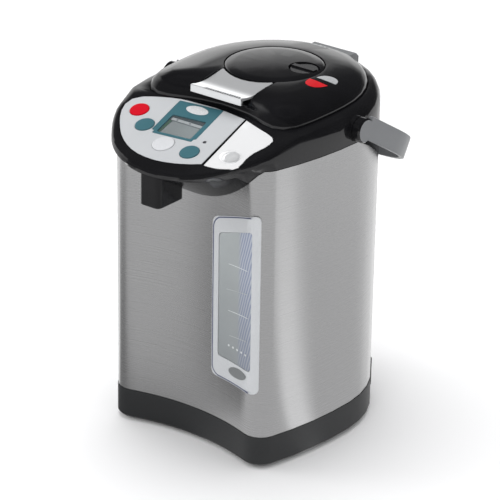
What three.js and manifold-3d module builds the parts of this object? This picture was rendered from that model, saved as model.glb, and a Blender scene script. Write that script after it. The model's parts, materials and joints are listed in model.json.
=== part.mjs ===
// Thermo pot: a steel housing with a hollow front, a black head whose nose reaches over the
// cup, a hinged lid with an air pump in it, and a bail handle folded down behind.
// Millimetres, +Z up, the cup side faces -Y. Plan sizes are measured from the pot axis.

import * as THREE from 'three';
import { mergeVertices } from 'three/addons/utils/BufferGeometryUtils.js';
import Module from 'manifold-3d';

const wasm = await Module();
wasm.setup();

const { degToRad, lerp } = THREE.MathUtils;

// Clearances and overruns
const seatGap = 0.3;
const slideGap = 0.7;
const cutOver = 4;

// Housing plan: rear half circle, long flank arcs, tight front corners, hollow front
const housingRadius = 106.5;
const flankRadius = 352;
const cornerRadius = 18;
const hollowRadius = 222;
const hollowReach = 101.5;
const frontSteps = 9;
const cornerSteps = 5;
const flankSteps = 4;
const rearSteps = 9;
const roundSteps = 36;
const detailSteps = 16;
const cornerLimit = 0.6;
const weldReach = 1e-4;
const simpleReach = 0.01;

// Heights from the surface that the pot stands on
const footHeight = 3;
const skirtTop = 33;
const ringBottom = 298;
const rimFront = 324.5;
const rimRear = 329.5;
const lidPlateau = 343;
const totalHeight = 345;

// Base
const skirtWall = 3.4;
const skirtProud = 0.5;
const skirtChamfer = 2.6;
const lipWall = 2.2;
const lipRise = 6;
const plateThick = 2.6;
const footRadius = 9;
const footRound = 1;
const footPlaceShare = 0.66;
const screwRadius = 3.2;
const screwHeight = 2;
const screwPlaceShare = 0.78;

// Steel shell and its level window
const steelWall = 1;
const steelGap = 0.6;
const windowLeft = 22.5;
const windowRight = 84;
const windowBottom = 77;
const windowTopLeft = 236;
const windowTopRight = 256;
const windowCorner = 7;
const sightMargin = 8;
const sightFoot = 22;
const sightHead = 14;
const frameProud = 1.1;
const frameDepth = 3;
const frameLedge = 2.4;
const glassThick = 1.2;
const levelTubeRadius = 5;
const levelTubeBore = 3.6;
const levelTubeX = 57;
const levelTubeReach = 100.3;

// Head
const headWall = 3;
const deckTop = 314;
const deckThick = 3;
const mouthRadius = 60;
const collarWall = 3;
const collarBottom = 301;
const noseReach = 168.5;
const noseRadius = 66.5;
const noseBottom = 290;
const noseSweep = degToRad(75);
const panelSlope = degToRad(17);
const panelReach = 71.5;
const apronBottom = 256;
const apronSlope = degToRad(32);
const apronStart = 4;
const lidRimWidth = 4.5;

// Outermost line of the nose from its tip to the corner of the housing, as shares of the
// housing radius and of the nose reach
const noseLineShare = [
  [0, 0.998], [0.24, 0.98], [0.408, 0.937], [0.559, 0.871], [0.678, 0.791],
  [0.778, 0.708], [0.843, 0.636], [0.865, 0.594],
];
// Places round the head where the rim's inset and the shoulder's drop are set
const rimStations = [0, 8, 14, 18, 27];
const rimInset = [7.6, 2, 3.4, 11.5, 1.6];
const shoulderDrop = [4.6, 5.2, 9, 16, 7];

const hingeSeat = 319;
const noseDeck = 4.5;
const panelHalfWidth = 86;
const panelLength = 87.6;
const panelLedge = 6.5;
const bayDepth = 13.5;
const keyRoom = 1.4;
const trayWall = 1.6;

// Silver panel from the rear end of its straight side, round by the left to the front end of
// that side, as shares of the panel's half width and length down the slope
const panelLineShare = [
  [0.406, 0.037], [0.174, 0.011], [0, 0], [-0.181, 0.005], [-0.474, 0.024],
  [-0.736, 0.091], [-0.92, 0.172], [-0.98, 0.268], [-0.97, 0.38], [-0.895, 0.522],
  [-0.783, 0.66], [-0.653, 0.788], [-0.48, 0.9], [-0.293, 0.965], [-0.093, 0.985],
  [0.091, 0.966], [0.305, 0.907], [0.46, 0.836],
];
// Dispense key beside it, from the rear end of the straight side round by the right
const keyLineShare = [
  [0.431, 0.043], [0.488, 0.058], [0.627, 0.1], [0.79, 0.142], [0.895, 0.188],
  [0.913, 0.228], [0.905, 0.331], [0.853, 0.463], [0.84, 0.58], [0.852, 0.685],
  [0.812, 0.76], [0.717, 0.815], [0.607, 0.84], [0.495, 0.844],
];
// Lid edge from the middle of its front to its side, as shares of its half width and of the
// distance from the pot axis to the panel
const lidFrontShare = [
  [0, 0.888], [0.33, 0.937], [0.6, 1.035], [0.785, 1.045], [0.915, 0.93],
  [0.972, 0.7], [0.995, 0.35], [1, 0.12],
];
const lidFrontSteps = 13;

// Spout under the nose
const chinBottom = 251.5;
const chinHalfWidth = 84;
const chinReach = 68.5;
const chinStep = 7;
const chinCloseShare = 3;
const chinWall = 2.4;
const spoutHalfWidth = 11.4;
const spoutCorner = 5;
const spoutFront = 166.5;
const spoutBack = 131;
const spoutBottom = 259.5;
const nozzleRadius = 6.5;
const nozzleBore = 4.5;
const nozzleReach = 153;

// Control panel, in the plane of the slope: x across, down the slope from its rear edge
const panelTurn = degToRad(4.5);
const panelThick = 1.5;
const buttonRadius = 9.2;
const wideButtonRadius = 10.3;
const buttonRise = 0.9;
const buttonCrown = 0.5;
const buttonSink = 1;
const buttonStem = 3;
const buttonDepth = 3.4;
const boardInset = 3.2;
const boardDepth = 4.9;
const boardThick = 1.6;
const keyThick = 1.8;
const nubRadius = 8.2;
const nubRise = 2.6;
const nubX = 55.3;
const nubDown = 54.2;
const displayX = -12.5;
const displayDown = 36;
const displayWidth = 43;
const displayHeight = 32.9;
const displayCorner = 1.6;
const displayRim = 3;
const moduleInset = 2;
const moduleTop = 1.8;
const moduleBottom = 4.6;
const bandX = -13.8;
const bandDown = 25.3;
const bandWidth = 48;
const bandLength = 46.5;
const lampX = 22;
const lampDown = 46.2;
const lampRadius = 1.6;

// Lid
const lidHalfWidth = 90.5;
const lidWall = 2.8;
const lidBottom = 314.3;
const lidDraft = 0.8;
// Dome of the lid from its edge inwards: insets, scales of the plan and shares of the rise
const lidDomeInset = [0, 0.8, 2.8, 7, 7, 7];
const lidDomeShare = [
  [1, 0.06], [1, 0.2], [1, 0.44], [1, 0.68], [0.88, 0.89], [0.66, 1],
];
const lidFloor = 295;
const lidFloorThick = 2.5;
const cupRadius = 57;
const cupTaper = 5;
const cupWall = 2;
const flangeTop = 317;
const gasketRadius = 59;
const gasketWall = 1.6;
const gasketBottom = 308.6;
const gasketTop = 312.4;
const ventLeft = -22;
const ventRight = 10;
const ventFront = 82.5;
const ventRear = 87;
const ventDepth = 4;
const ventSlots = 6;
const ventSlotWidth = 2.4;

// Pump
const pumpY = 13.5;
const pumpRadius = 46.2;
const pumpGap = 1;
const pumpThick = 2.6;
const pumpBottom = 334;
const pumpWall = 2.7;
const pumpBossRadius = 12;
// Crown of the pump disc as [share of its radius, distance below the top]
const pumpCrownShare = [[0, 0], [0.45, 0.25], [0.8, 0.85], [0.95, 1.4]];
const pumpEdgeDrop = 2.5;
const holeSkirt = 2.2;
const holeSkirtBottom = 337;
const bellowsRadius = 25;
const bellowsFold = 4.5;
const bellowsWall = 1.2;
const bellowsTop = 333.6;
const bellowsFolds = 4;
const springRadius = 14;
const springWire = 1.3;
const springTurns = 5;
const wireSteps = 8;
const wireSides = 4;
const knobX = 28.5;
const knobY = 20.8;
const knobRadius = 14.3;
const knobDepth = 5.2;
const knobWall = 1.5;
const knobStem = 4;
const knobStemEnd = 330;
const knobTop = 343.4;
const gripTop = 344.9;
const gripWidth = 5;

// Lid lever and latch
const leverHalfWidth = 29;
const leverPivotY = -31;
const leverPivotZ = 340;
const leverPinRadius = 1.4;
// Side view of the lever as [distance to the front of the pot axis, height]
const leverTopLine = [
  [27, 343.2], [36, 341.6], [48, 339.6], [58, 339.2], [66, 340], [71.5, 341.4], [73.2, 341],
];
const leverUnderLine = [
  [73.4, 334.6], [71.4, 334.4], [71, 338.4], [64, 337.6], [56, 337], [46, 337.6],
  [36, 339.2], [27, 339.6],
];
const leverClear = 49;
const recessHalfWidth = 30.2;
const recessWall = 2.6;
// Floor of the lever's recess in the lid, the same way
const recessLine = [[20, 337.2], [40, 334.9], [60, 332.6], [80, 330.3]];
const latchHalfWidth = 14;
const latchThick = 5;
const latchBottom = 317.3;
const latchTip = 67.2;
const latchRear = 40;
const latchBridge = 18;

// Lid hinge
const hingeY = 106;
const hingeZ = 328;
const hingePinRadius = 1.6;
const hingePinHalf = 22;
const hingeHalfWidth = 24.5;
const hingeCoverFront = 89;
const hingeCoverBack = 112;
const hingeCoverTop = 333.3;
const hingeCoverBottom = 322;
const hingeCoverRound = 4;
const hingeCoverWall = 1.8;
const tongueHalfWidth = 9;
const tongueRadius = 3.2;
const tongueFoot = 93;
const tongueThick = 2.2;
const lugInner = 11;
const lugOuter = 17;

// Handle
const pivotZ = 310.5;
const foldAngle = degToRad(31);
const bailHalfWidth = 115;
const bailLength = 134;
const bailCorner = 80;
const bailThick = 4.5;
const bailWidth = 21.3;
const bailRaise = 4;
const bailStart = 4;
const hubRadius = 11.8;
const bossRadius = 12.4;
const hubOuter = 115.6;
const hubRound = 1.6;
const axleRadius = 3;
const axleInner = 96;
const bossInner = 92;
const bossOuter = 107.2;

// Pot and works
const potRadius = 86;
const potWall = 1.2;
const potFloor = 62;
const potRim = 299;
const potFlange = 66;
const potNeck = 62.5;
// Neck of the pot as [share from its body to its neck, height]
const potNeckShare = [[0, 262], [0.15, 272], [0.5, 281], [0.85, 287], [1, 291]];
const potDrain = 4;
const potSealWall = 4;
const heaterThick = 5;
const heaterRadius = 70;
const bandHeight = 30;
const bandThick = 2;
const cradleRadius = 80;
const heaterGap = 1;
const cradleWall = 2;
const thermostatRadius = 12;
const thermostatHeight = 6;
const motorRadius = 15;
const motorHeight = 24;
const motorReach = 52;
const pumpCaseRadius = 18;
const pumpCaseHeight = 11;
const spigotRadius = 6;
const riserRadius = 5;
const riserBore = 3.4;
const riserReach = 94;
const outletZ = 283;
const levelSpurZ = 106;
const powerBoardWidth = 74;
const powerBoardDepth = 46;
const powerBoardY = 42;
const powerBoardRaise = 7;
const powerBoardThick = 1.6;
const pillarShare = 0.4;
const inletAngle = degToRad(60);
const inletWidth = 46;
const inletBottom = 9;
const inletTop = 38;
const inletProud = 1.2;
const inletDepth = 16;
const socketHalfWidth = 15;
const socketBottom = 14;
const socketTop = 33;
const socketDepth = 12;
const pinPitch = 8;
// Tall parts on the power board as shares of its half width: middle, half sizes and height
const boardPartShare = [
  [-0.55, 0, 0.3, 0.35, 0.5], [0.1, 0.15, 0.2, 0.2, 0.35], [0.6, -0.1, 0.18, 0.3, 0.4],
];

// Solids from geometry and back

function clean(geometry) {
  const bare = geometry.clone();
  for (const name of Object.keys(bare.attributes)) {
    if (name !== 'position') bare.deleteAttribute(name);
  }
  bare.clearGroups();
  return mergeVertices(bare, weldReach);
}

function solid(geometry) {
  const merged = clean(geometry);
  const index = merged.index.array;
  const kept = [];
  for (let i = 0; i < index.length; i += 3) {
    const [a, b, c] = [index[i], index[i + 1], index[i + 2]];
    if (a !== b && b !== c && c !== a) kept.push(a, b, c);
  }
  return new wasm.Manifold(new wasm.Mesh({
    numProp: 3,
    vertProperties: new Float32Array(merged.attributes.position.array),
    triVerts: new Uint32Array(kept),
  }));
}

function geometryOf(body) {
  const mesh = body.simplify(simpleReach).getMesh();
  const geometry = new THREE.BufferGeometry();
  const places = new Float32Array(mesh.numVert * 3);
  for (let i = 0; i < mesh.numVert; i += 1) {
    for (let axis = 0; axis < 3; axis += 1) {
      places[3 * i + axis] = mesh.vertProperties[i * mesh.numProp + axis];
    }
  }
  geometry.setAttribute('position', new THREE.BufferAttribute(places, 3));
  geometry.setIndex(Array.from(mesh.triVerts));
  return geometry;
}

function join(first, ...others) {
  let body = solid(first);
  for (const other of others) body = body.add(solid(other));
  return geometryOf(body);
}

function cut(first, ...tools) {
  let body = solid(first);
  for (const tool of tools) body = body.subtract(solid(tool));
  return geometryOf(body);
}

function common(first, second) {
  return geometryOf(solid(first).intersect(solid(second)));
}

// Plain forms

function block(x0, x1, y0, y1, z0, z1) {
  const box = new THREE.BoxGeometry(x1 - x0, y1 - y0, z1 - z0);
  return box.translate((x0 + x1) / 2, (y0 + y1) / 2, (z0 + z1) / 2);
}

function post(radius, x, y, z0, z1, steps = roundSteps) {
  const rod = new THREE.CylinderGeometry(radius, radius, z1 - z0, steps);
  return rod.rotateX(Math.PI / 2).translate(x, y, (z0 + z1) / 2);
}

function axle(radius, x0, x1, y, z, steps = roundSteps) {
  const rod = new THREE.CylinderGeometry(radius, radius, x1 - x0, steps);
  return rod.rotateZ(Math.PI / 2).translate((x0 + x1) / 2, y, z);
}

// Revolves a closed profile of [radius, height] points about an upright axis
function turned(profile, x = 0, y = 0, steps = roundSteps) {
  const points = profile.map(([radius, height]) => new THREE.Vector2(radius, height));
  if (points[0].x > 0) points.push(points[0].clone());
  return new THREE.LatheGeometry(points, steps).rotateX(Math.PI / 2).translate(x, y, 0);
}

function tubeWall(outer, inner, x, y, z0, z1, steps = roundSteps) {
  return turned([[inner, z0], [outer, z0], [outer, z1], [inner, z1]], x, y, steps);
}

// Extrudes a closed outline of the side view, given as [y, z] points, from x0 to x1
function sideProfile(points, x0, x1) {
  const shape = new THREE.Shape(points.map(([y, z]) => new THREE.Vector2(y, z)));
  const form = new THREE.ExtrudeGeometry(shape, { depth: x1 - x0, bevelEnabled: false });
  form.rotateX(Math.PI / 2).rotateZ(Math.PI / 2);
  return form.translate(x0, 0, 0);
}

function plate(points, z0, z1) {
  const shape = new THREE.Shape(points);
  const form = new THREE.ExtrudeGeometry(shape, { depth: z1 - z0, bevelEnabled: false });
  return form.translate(0, 0, z0);
}

function arc(centre, radius, from, to, steps) {
  const points = [];
  for (let i = 0; i <= steps; i += 1) {
    const turn = lerp(from, to, i / steps);
    points.push(new THREE.Vector2(
      centre.x + radius * Math.cos(turn),
      centre.y + radius * Math.sin(turn),
    ));
  }
  return points;
}

// Rounded rectangle of any four corners, each rounded by the same radius
function roundedPatch(corners, radius, steps = 4) {
  const points = [];
  corners.forEach((corner, i) => {
    const before = corners[(i + corners.length - 1) % corners.length];
    const after = corners[(i + 1) % corners.length];
    const start = corner.clone().add(before.clone().sub(corner).setLength(radius));
    const end = corner.clone().add(after.clone().sub(corner).setLength(radius));
    const curve = new THREE.QuadraticBezierCurve(start, corner, end);
    points.push(...curve.getPoints(steps));
  });
  return points;
}

// Plan lines

function touchPoint(a, radiusA, b, radiusB) {
  const span = b.clone().sub(a);
  const reach = span.length();
  const along = (radiusA ** 2 - radiusB ** 2 + reach ** 2) / (2 * reach);
  const across = Math.sqrt(radiusA ** 2 - along ** 2);
  const middle = a.clone().add(span.clone().setLength(along));
  const side = new THREE.Vector2(-span.y, span.x).setLength(across);
  const first = middle.clone().add(side);
  return first.x > middle.x ? first : middle.sub(side);
}

const hollowCentre = new THREE.Vector2(0, -(hollowReach + hollowRadius));
const flankCentre = new THREE.Vector2(housingRadius - flankRadius, 0);
const cornerCentre = touchPoint(
  hollowCentre, hollowRadius + cornerRadius, flankCentre, flankRadius - cornerRadius,
);

function angleFrom(centre, point) {
  return Math.atan2(point.y - centre.y, point.x - centre.x);
}

// Right half of the housing line, from the middle of the front to the middle of the rear
function housingHalf() {
  const cornerFrom = angleFrom(cornerCentre, hollowCentre);
  const cornerTo = angleFrom(flankCentre, cornerCentre);
  const hollowTo = angleFrom(hollowCentre, cornerCentre);
  const axis = new THREE.Vector2(0, 0);
  return [
    ...arc(hollowCentre, hollowRadius, Math.PI / 2, hollowTo, frontSteps).slice(0, -1),
    ...arc(cornerCentre, cornerRadius, cornerFrom, cornerTo, cornerSteps).slice(0, -1),
    ...arc(flankCentre, flankRadius, cornerTo, 0, flankSteps).slice(0, -1),
    ...arc(axis, housingRadius, 0, Math.PI / 2, rearSteps),
  ];
}

const halfCount = frontSteps + cornerSteps + flankSteps + rearSteps;

// Whole closed line, counter-clockwise from above, from its right half
function bothSides(half) {
  const left = half.slice(1, -1).reverse().map((point) => {
    const twin = point.clone();
    twin.x = -point.x;
    return twin;
  });
  return [...half, ...left];
}

function heading(from, to) {
  return new THREE.Vector2(to.x - from.x, to.y - from.y).normalize();
}

// Moves a closed line outwards, or inwards by a negative distance
function grown(line, distance) {
  const reach = (i) => (typeof distance === 'function' ? distance(i) : distance);
  return line.map((point, i) => {
    const inward = heading(line[(i + line.length - 1) % line.length], point);
    const onward = heading(point, line[(i + 1) % line.length]);
    const along = inward.clone().add(onward).normalize();
    const stretch = reach(i) / Math.max(cornerLimit, along.dot(onward));
    const moved = point.clone();
    moved.x += along.y * stretch;
    moved.y -= along.x * stretch;
    return moved;
  });
}

function lifted(line, height) {
  const level = (point, i) => (typeof height === 'function' ? height(point, i) : height);
  return line.map((point, i) => new THREE.Vector3(point.x, point.y, level(point, i)));
}

// Joins level lines of the same count into faces; a closed sleeve comes back to its first line
function lineFaces(rings, closed) {
  const count = rings[0].length;
  const faces = [];
  const last = closed ? rings.length : rings.length - 1;
  for (let i = 0; i < last; i += 1) {
    const low = rings[i];
    const high = rings[(i + 1) % rings.length];
    for (let j = 0; j < count; j += 1) {
      const next = (j + 1) % count;
      faces.push(low[j], low[next], high[next], low[j], high[next], high[j]);
    }
  }
  return faces;
}

// Closes a level end of a body over its outline
function levelFaces(ring, upwards) {
  const outline = ring.map((point) => new THREE.Vector2(point.x, point.y));
  return THREE.ShapeUtils.triangulateShape(outline, []).flatMap(([a, b, c]) => (
    upwards ? [ring[a], ring[b], ring[c]] : [ring[a], ring[c], ring[b]]
  ));
}

// Closes a sloping end that is alike on both sides by strips from side to side
function endFaces(ring, upwards) {
  const count = ring.length;
  if (ring.every((point) => point.z === ring[0].z)) return levelFaces(ring, upwards);
  const faces = [];
  for (let k = 0; k < count / 2; k += 1) {
    const [a, b] = [ring[k], ring[k + 1]];
    const [c, d] = [ring[(count - k - 1) % count], ring[(count - k) % count]];
    const strip = upwards ? [a, b, c, a, c, d] : [a, c, b, a, d, c];
    faces.push(...strip);
  }
  return faces;
}

function fromFaces(faces) {
  return new THREE.BufferGeometry().setFromPoints(faces);
}

function lofted(rings) {
  return fromFaces([
    ...lineFaces(rings, false),
    ...endFaces(rings[0], false),
    ...endFaces(rings[rings.length - 1], true),
  ]);
}

function sleeve(rings) {
  return fromFaces(lineFaces(rings, true));
}

const housingLine = bothSides(housingHalf());

// Sleeve along the housing line, from a closed profile of [outward offset, height] points
function housingSleeve(profile) {
  return sleeve(profile.map(([offset, height]) => lifted(grown(housingLine, offset), height)));
}

function housingBlock(offset, z0, z1) {
  const line = grown(housingLine, offset);
  return lofted([lifted(line, z0), lifted(line, z1)]);
}

// Materials

function finish(color, roughness, metalness, extra = {}) {
  return new THREE.MeshStandardMaterial({ color, roughness, metalness, ...extra });
}

const glossBlack = finish(0x0b0b0c, 0.12, 0);
const mattBlack = finish(0x2c2d2f, 0.55, 0);
const brushedSteel = finish(0xa7a9ab, 0.35, 0.9);
const bareSteel = finish(0xb9bbbd, 0.3, 0.9);
const brightChrome = finish(0xe6e8ea, 0.08, 1);
const panelSilver = finish(0xc9cccf, 0.32, 0.4);
const teal = finish(0x3c6470, 0.4, 0);
const red = finish(0xd8102a, 0.35, 0);
const white = finish(0xe9eaeb, 0.4, 0);
const grey = finish(0x77797b, 0.45, 0);
const rubber = finish(0x1b1b1c, 0.85, 0);
const clear = finish(0xe4ecf2, 0.05, 0, { transparent: true, opacity: 0.35 });
const displayGrey = finish(0x8f968f, 0.4, 0);
const copper = finish(0xb06b3a, 0.35, 0.9);
const boardGreen = finish(0x1f5a3c, 0.5, 0);
const silicone = finish(0xd6d7d4, 0.7, 0);
const galvanised = finish(0x9fa3a6, 0.4, 0.8);

const pot = new THREE.Group();

function add(name, geometry, material, parent = pot) {
  const mesh = new THREE.Mesh(clean(geometry), material);
  mesh.name = name;
  parent.add(mesh);
  return mesh;
}

// Base

const plateTop = footHeight + seatGap + plateThick;

function inletPlace() {
  return [housingRadius * Math.cos(inletAngle), housingRadius * Math.sin(inletAngle)];
}

// Block on the housing where the power inlet sits, turned to face outwards
function inletBlock(halfWidth, inner, outer, z0, z1) {
  const box = block(inner, outer, -halfWidth, halfWidth, z0, z1);
  return box.rotateZ(inletAngle);
}

function baseSkirt() {
  const inner = -skirtWall;
  const wall = housingSleeve([
    [skirtProud - skirtChamfer, footHeight],
    [skirtProud, footHeight + skirtChamfer],
    [skirtProud, skirtTop],
    [-steelWall - seatGap, skirtTop],
    [-steelWall - seatGap, skirtTop + lipRise],
    [-steelWall - seatGap - lipWall, skirtTop + lipRise],
    [inner - lipWall + steelWall, skirtTop - lipRise],
    [inner, skirtTop - 2 * lipRise],
    [inner, footHeight],
  ]);
  const hole = inletBlock(
    inletWidth / 2 + seatGap, housingRadius - inletDepth, housingRadius + cutOver,
    inletBottom - seatGap, inletTop + cutOver,
  );
  const riserNotch = block(
    -riserRadius - slideGap, riserRadius + slideGap,
    -riserReach - riserRadius - slideGap, -riserReach + riserRadius,
    skirtTop - 2 * lipRise, skirtTop + 2 * lipRise,
  );
  return cut(wall, hole, riserNotch);
}

function spots(share) {
  const reach = housingRadius * share;
  return [[1, 1], [-1, 1], [-1, -1], [1, -1]].map(([x, y]) => [
    x * reach * Math.SQRT1_2, y * reach * Math.SQRT1_2,
  ]);
}

function bottomPlate() {
  const floor = housingBlock(-skirtWall - seatGap, footHeight + seatGap, plateTop);
  const pillars = [];
  for (const x of [-1, 1]) {
    for (const y of [-1, 1]) {
      pillars.push(post(
        screwRadius, x * powerBoardWidth * pillarShare, powerBoardY + y * powerBoardDepth * pillarShare,
        plateTop - seatGap, plateTop + powerBoardRaise, detailSteps,
      ));
    }
  }
  const recesses = spots(screwPlaceShare).map(([x, y]) => post(
    screwRadius + seatGap, x, y, 0, footHeight + seatGap + plateThick / 2, detailSteps,
  ));
  return cut(join(floor, ...pillars), ...recesses);
}

add('base_skirt', baseSkirt(), mattBlack);
add('bottom_plate', bottomPlate(), mattBlack);

spots(footPlaceShare).forEach(([x, y], i) => {
  const foot = turned([
    [0, 0], [footRadius - footRound, 0], [footRadius, footRound],
    [footRadius, footHeight], [0, footHeight],
  ], x, y, detailSteps);
  add(`rubber_foot_${i + 1}`, foot, rubber);
});


spots(screwPlaceShare).forEach(([x, y], i) => {
  const top = footHeight + plateThick / 2;
  const screw = post(screwRadius, x, y, top - screwHeight, top, detailSteps);
  add(`base_screw_${i + 1}`, screw, galvanised);
});

// Head lines

function topHeight(y) {
  if (y < -panelReach) return rimFront + (y + panelReach) * Math.tan(panelSlope);
  return lerp(rimFront, rimRear, (y + panelReach) / (housingRadius + panelReach));
}

function stationValue(values, k) {
  for (let i = 1; i < rimStations.length; i += 1) {
    if (k <= rimStations[i]) {
      const along = (k - rimStations[i - 1]) / (rimStations[i] - rimStations[i - 1]);
      const eased = THREE.MathUtils.smoothstep(along, 0, 1);
      return lerp(values[i - 1], values[i], eased);
    }
  }
  return values[values.length - 1];
}

// Station of a point counted from the front along either side
function halfStation(i) {
  return i <= halfCount ? i : 2 * halfCount - i;
}

const noseEnd = frontSteps + cornerSteps;

// Lower edge of the head where it meets the steel: rising beside the spout, deep at the rear
function chinEdge(x) {
  return Math.min(ringBottom, chinBottom + (ringBottom - chinBottom) * (x / chinHalfWidth) ** 2);
}

function apronEdge(y) {
  return Math.max(apronBottom, ringBottom - (y - apronStart) * Math.tan(apronSlope));
}

// Lower edge: the nose's half circle, then the housing line
function lowerHalf() {
  const housing = housingHalf();
  const centre = new THREE.Vector2(0, noseRadius - noseReach);
  const nose = arc(centre, noseRadius, -Math.PI / 2, noseSweep - Math.PI / 2, frontSteps - 1);
  return housing.map((point, k) => {
    if (k < frontSteps) return new THREE.Vector3(nose[k].x, nose[k].y, noseBottom);
    const height = point.y > apronStart ? apronEdge(point.y) : chinEdge(point.x);
    return new THREE.Vector3(point.x, point.y, height);
  });
}

// Outermost line: the nose swells to the corner, behind it the housing line
function outerHalf() {
  const housing = housingHalf();
  const line = new THREE.SplineCurve(noseLineShare.map(([x, y]) => new THREE.Vector2(
    x * housingRadius, -y * noseReach,
  )));
  const nose = line.getSpacedPoints(noseEnd);
  return housing.map((point, k) => (k < noseEnd ? nose[k] : point));
}

const lowerLine = bothSides(lowerHalf());
const outerPlan = bothSides(outerHalf());
const rimPlan = grown(outerPlan, (i) => -stationValue(rimInset, halfStation(i)));
const rimLine = lifted(rimPlan, (point) => topHeight(point.y));
const outerLine = lifted(outerPlan, (point, i) => (
  rimLine[i].z - stationValue(shoulderDrop, halfStation(i))
));

function between(first, second, share) {
  return first.map((point, i) => point.clone().lerp(second[i], share));
}

// Quarter-round step from the outermost line up and in to the rim
function shoulderLine(turn) {
  return outerLine.map((outer, i) => {
    const rim = rimLine[i];
    return new THREE.Vector3(
      lerp(rim.x, outer.x, Math.cos(turn)),
      lerp(rim.y, outer.y, Math.cos(turn)),
      lerp(outer.z, rim.z, Math.sin(turn)),
    );
  });
}

// Lid line

function lidHalf() {
  const front = new THREE.SplineCurve(lidFrontShare.map(([x, y]) => new THREE.Vector2(
    x * lidHalfWidth, -y * panelReach,
  )));
  const side = grown(rimPlan, -lidRimWidth).slice(noseEnd + flankSteps, halfCount + 1);
  return [...front.getSpacedPoints(lidFrontSteps), ...side];
}

const lidLine = bothSides(lidHalf());
const lidCentre = new THREE.Vector2(0, pumpY);

function lidRing(inset, scale, rise, drop) {
  const line = grown(lidLine, -inset);
  return line.map((point) => {
    const rim = topHeight(point.y);
    const place = point.clone().sub(lidCentre).multiplyScalar(scale).add(lidCentre);
    return new THREE.Vector3(place.x, place.y, lerp(rim, lidPlateau, rise) - drop);
  });
}

function lidBlock(inset, z0, z1) {
  const line = grown(lidLine, -inset);
  return lofted([lifted(line, z0), lifted(line, z1)]);
}

// Steel shell and level window

// Front view outline, as [x, z] corners, swept through the front wall along Y
function throughFront(corners, radius) {
  const outline = roundedPatch(corners.map(([x, z]) => new THREE.Vector2(x, z)), radius);
  const shape = new THREE.Shape(outline);
  const depth = housingRadius;
  const form = new THREE.ExtrudeGeometry(shape, { depth, bevelEnabled: false });
  return form.rotateX(Math.PI / 2).translate(0, -hollowReach + cornerRadius, 0);
}

function windowCorners(inset) {
  return [
    [windowLeft + inset, windowBottom + inset], [windowRight - inset, windowBottom + inset],
    [windowRight - inset, windowTopRight - inset], [windowLeft + inset, windowTopLeft - inset],
  ];
}

function sightCorners(inset) {
  return [
    [windowLeft + sightMargin + inset, windowBottom + sightFoot + inset],
    [windowRight - sightMargin - inset, windowBottom + sightFoot + inset],
    [windowRight - sightMargin - inset, windowTopRight - sightHead - sightMargin / 2 - inset],
    [windowLeft + sightMargin + inset, windowTopLeft - sightHead - inset],
  ];
}

function steelShell() {
  // The top follows the lower edge of the head, but stands tall behind the spout
  const inside = grown(housingLine, -steelWall);
  const top = (point, i) => {
    const k = halfStation(i);
    if (k < frontSteps - 1) return ringBottom - steelGap;
    return Math.min(lowerLine[i].z, noseBottom - chinStep) - steelGap;
  };
  const side = (point, i) => (
    halfStation(i) <= frontSteps ? top(point, i) : lowerLine[i].z - steelGap
  );
  const wall = sleeve([
    lifted(housingLine, skirtTop + seatGap), lifted(housingLine, side),
    lifted(inside, side), lifted(inside, skirtTop + seatGap),
  ]);
  const inlet = inletBlock(
    inletWidth / 2 + seatGap, housingRadius - inletDepth, housingRadius + cutOver,
    0, inletTop + seatGap,
  );
  const window = throughFront(windowCorners(frameLedge), windowCorner - frameLedge);
  const outlet = pipe([
    place(0, -riserReach, outletZ), place(0, -nozzleReach, outletZ),
  ], riserRadius + seatGap);
  return cut(wall, inlet, window, outlet);
}

function levelFrame() {
  const flange = common(
    housingSleeve([
      [frameProud, windowBottom - cutOver], [frameProud, windowTopRight + cutOver],
      [seatGap, windowTopRight + cutOver], [seatGap, windowBottom - cutOver],
    ]),
    throughFront(windowCorners(0), windowCorner),
  );
  const plug = common(
    housingSleeve([
      [seatGap * 2, windowBottom - cutOver], [seatGap * 2, windowTopRight + cutOver],
      [-frameDepth, windowTopRight + cutOver], [-frameDepth, windowBottom - cutOver],
    ]),
    throughFront(windowCorners(frameLedge + seatGap), windowCorner - frameLedge),
  );
  return cut(join(flange, plug), throughFront(sightCorners(0), windowCorner / 2));
}

function levelWindow() {
  return common(
    housingSleeve([
      [seatGap * 2, windowBottom], [seatGap * 2, windowTopRight],
      [seatGap * 2 - glassThick, windowTopRight], [seatGap * 2 - glassThick, windowBottom],
    ]),
    throughFront(sightCorners(seatGap), windowCorner / 2),
  );
}

// Round bar or bore through a row of points, with a ball at each bend
function pipe(points, radius, steps = 12) {
  const up = new THREE.Vector3(0, 1, 0);
  const pieces = [];
  for (let i = 1; i < points.length; i += 1) {
    const span = points[i].clone().sub(points[i - 1]);
    const turn = new THREE.Quaternion().setFromUnitVectors(up, span.clone().normalize());
    const rod = new THREE.CylinderGeometry(radius, radius, span.length(), steps);
    rod.applyQuaternion(turn);
    const middle = points[i].clone().add(points[i - 1]).multiplyScalar(0.5);
    pieces.push(rod.translate(middle.x, middle.y, middle.z));
    if (i > 1) {
      const ball = new THREE.SphereGeometry(radius, steps, steps / 2);
      pieces.push(ball.translate(points[i - 1].x, points[i - 1].y, points[i - 1].z));
    }
  }
  return join(...pieces);
}

function extended(points, reach) {
  const line = points.map((point) => point.clone());
  const first = line[0].clone().sub(line[1]).setLength(reach);
  const last = line[line.length - 1].clone().sub(line[line.length - 2]).setLength(reach);
  line[0].add(first);
  line[line.length - 1].add(last);
  return line;
}

function pipeWall(points, radius, bore) {
  return cut(pipe(points, radius), pipe(extended(points, cutOver), bore));
}

function place(x, y, z) {
  return new THREE.Vector3(x, y, z);
}

add('steel_shell', steelShell(), brushedSteel);
add('level_frame', levelFrame(), panelSilver);
add('level_window', levelWindow(), clear);

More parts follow.
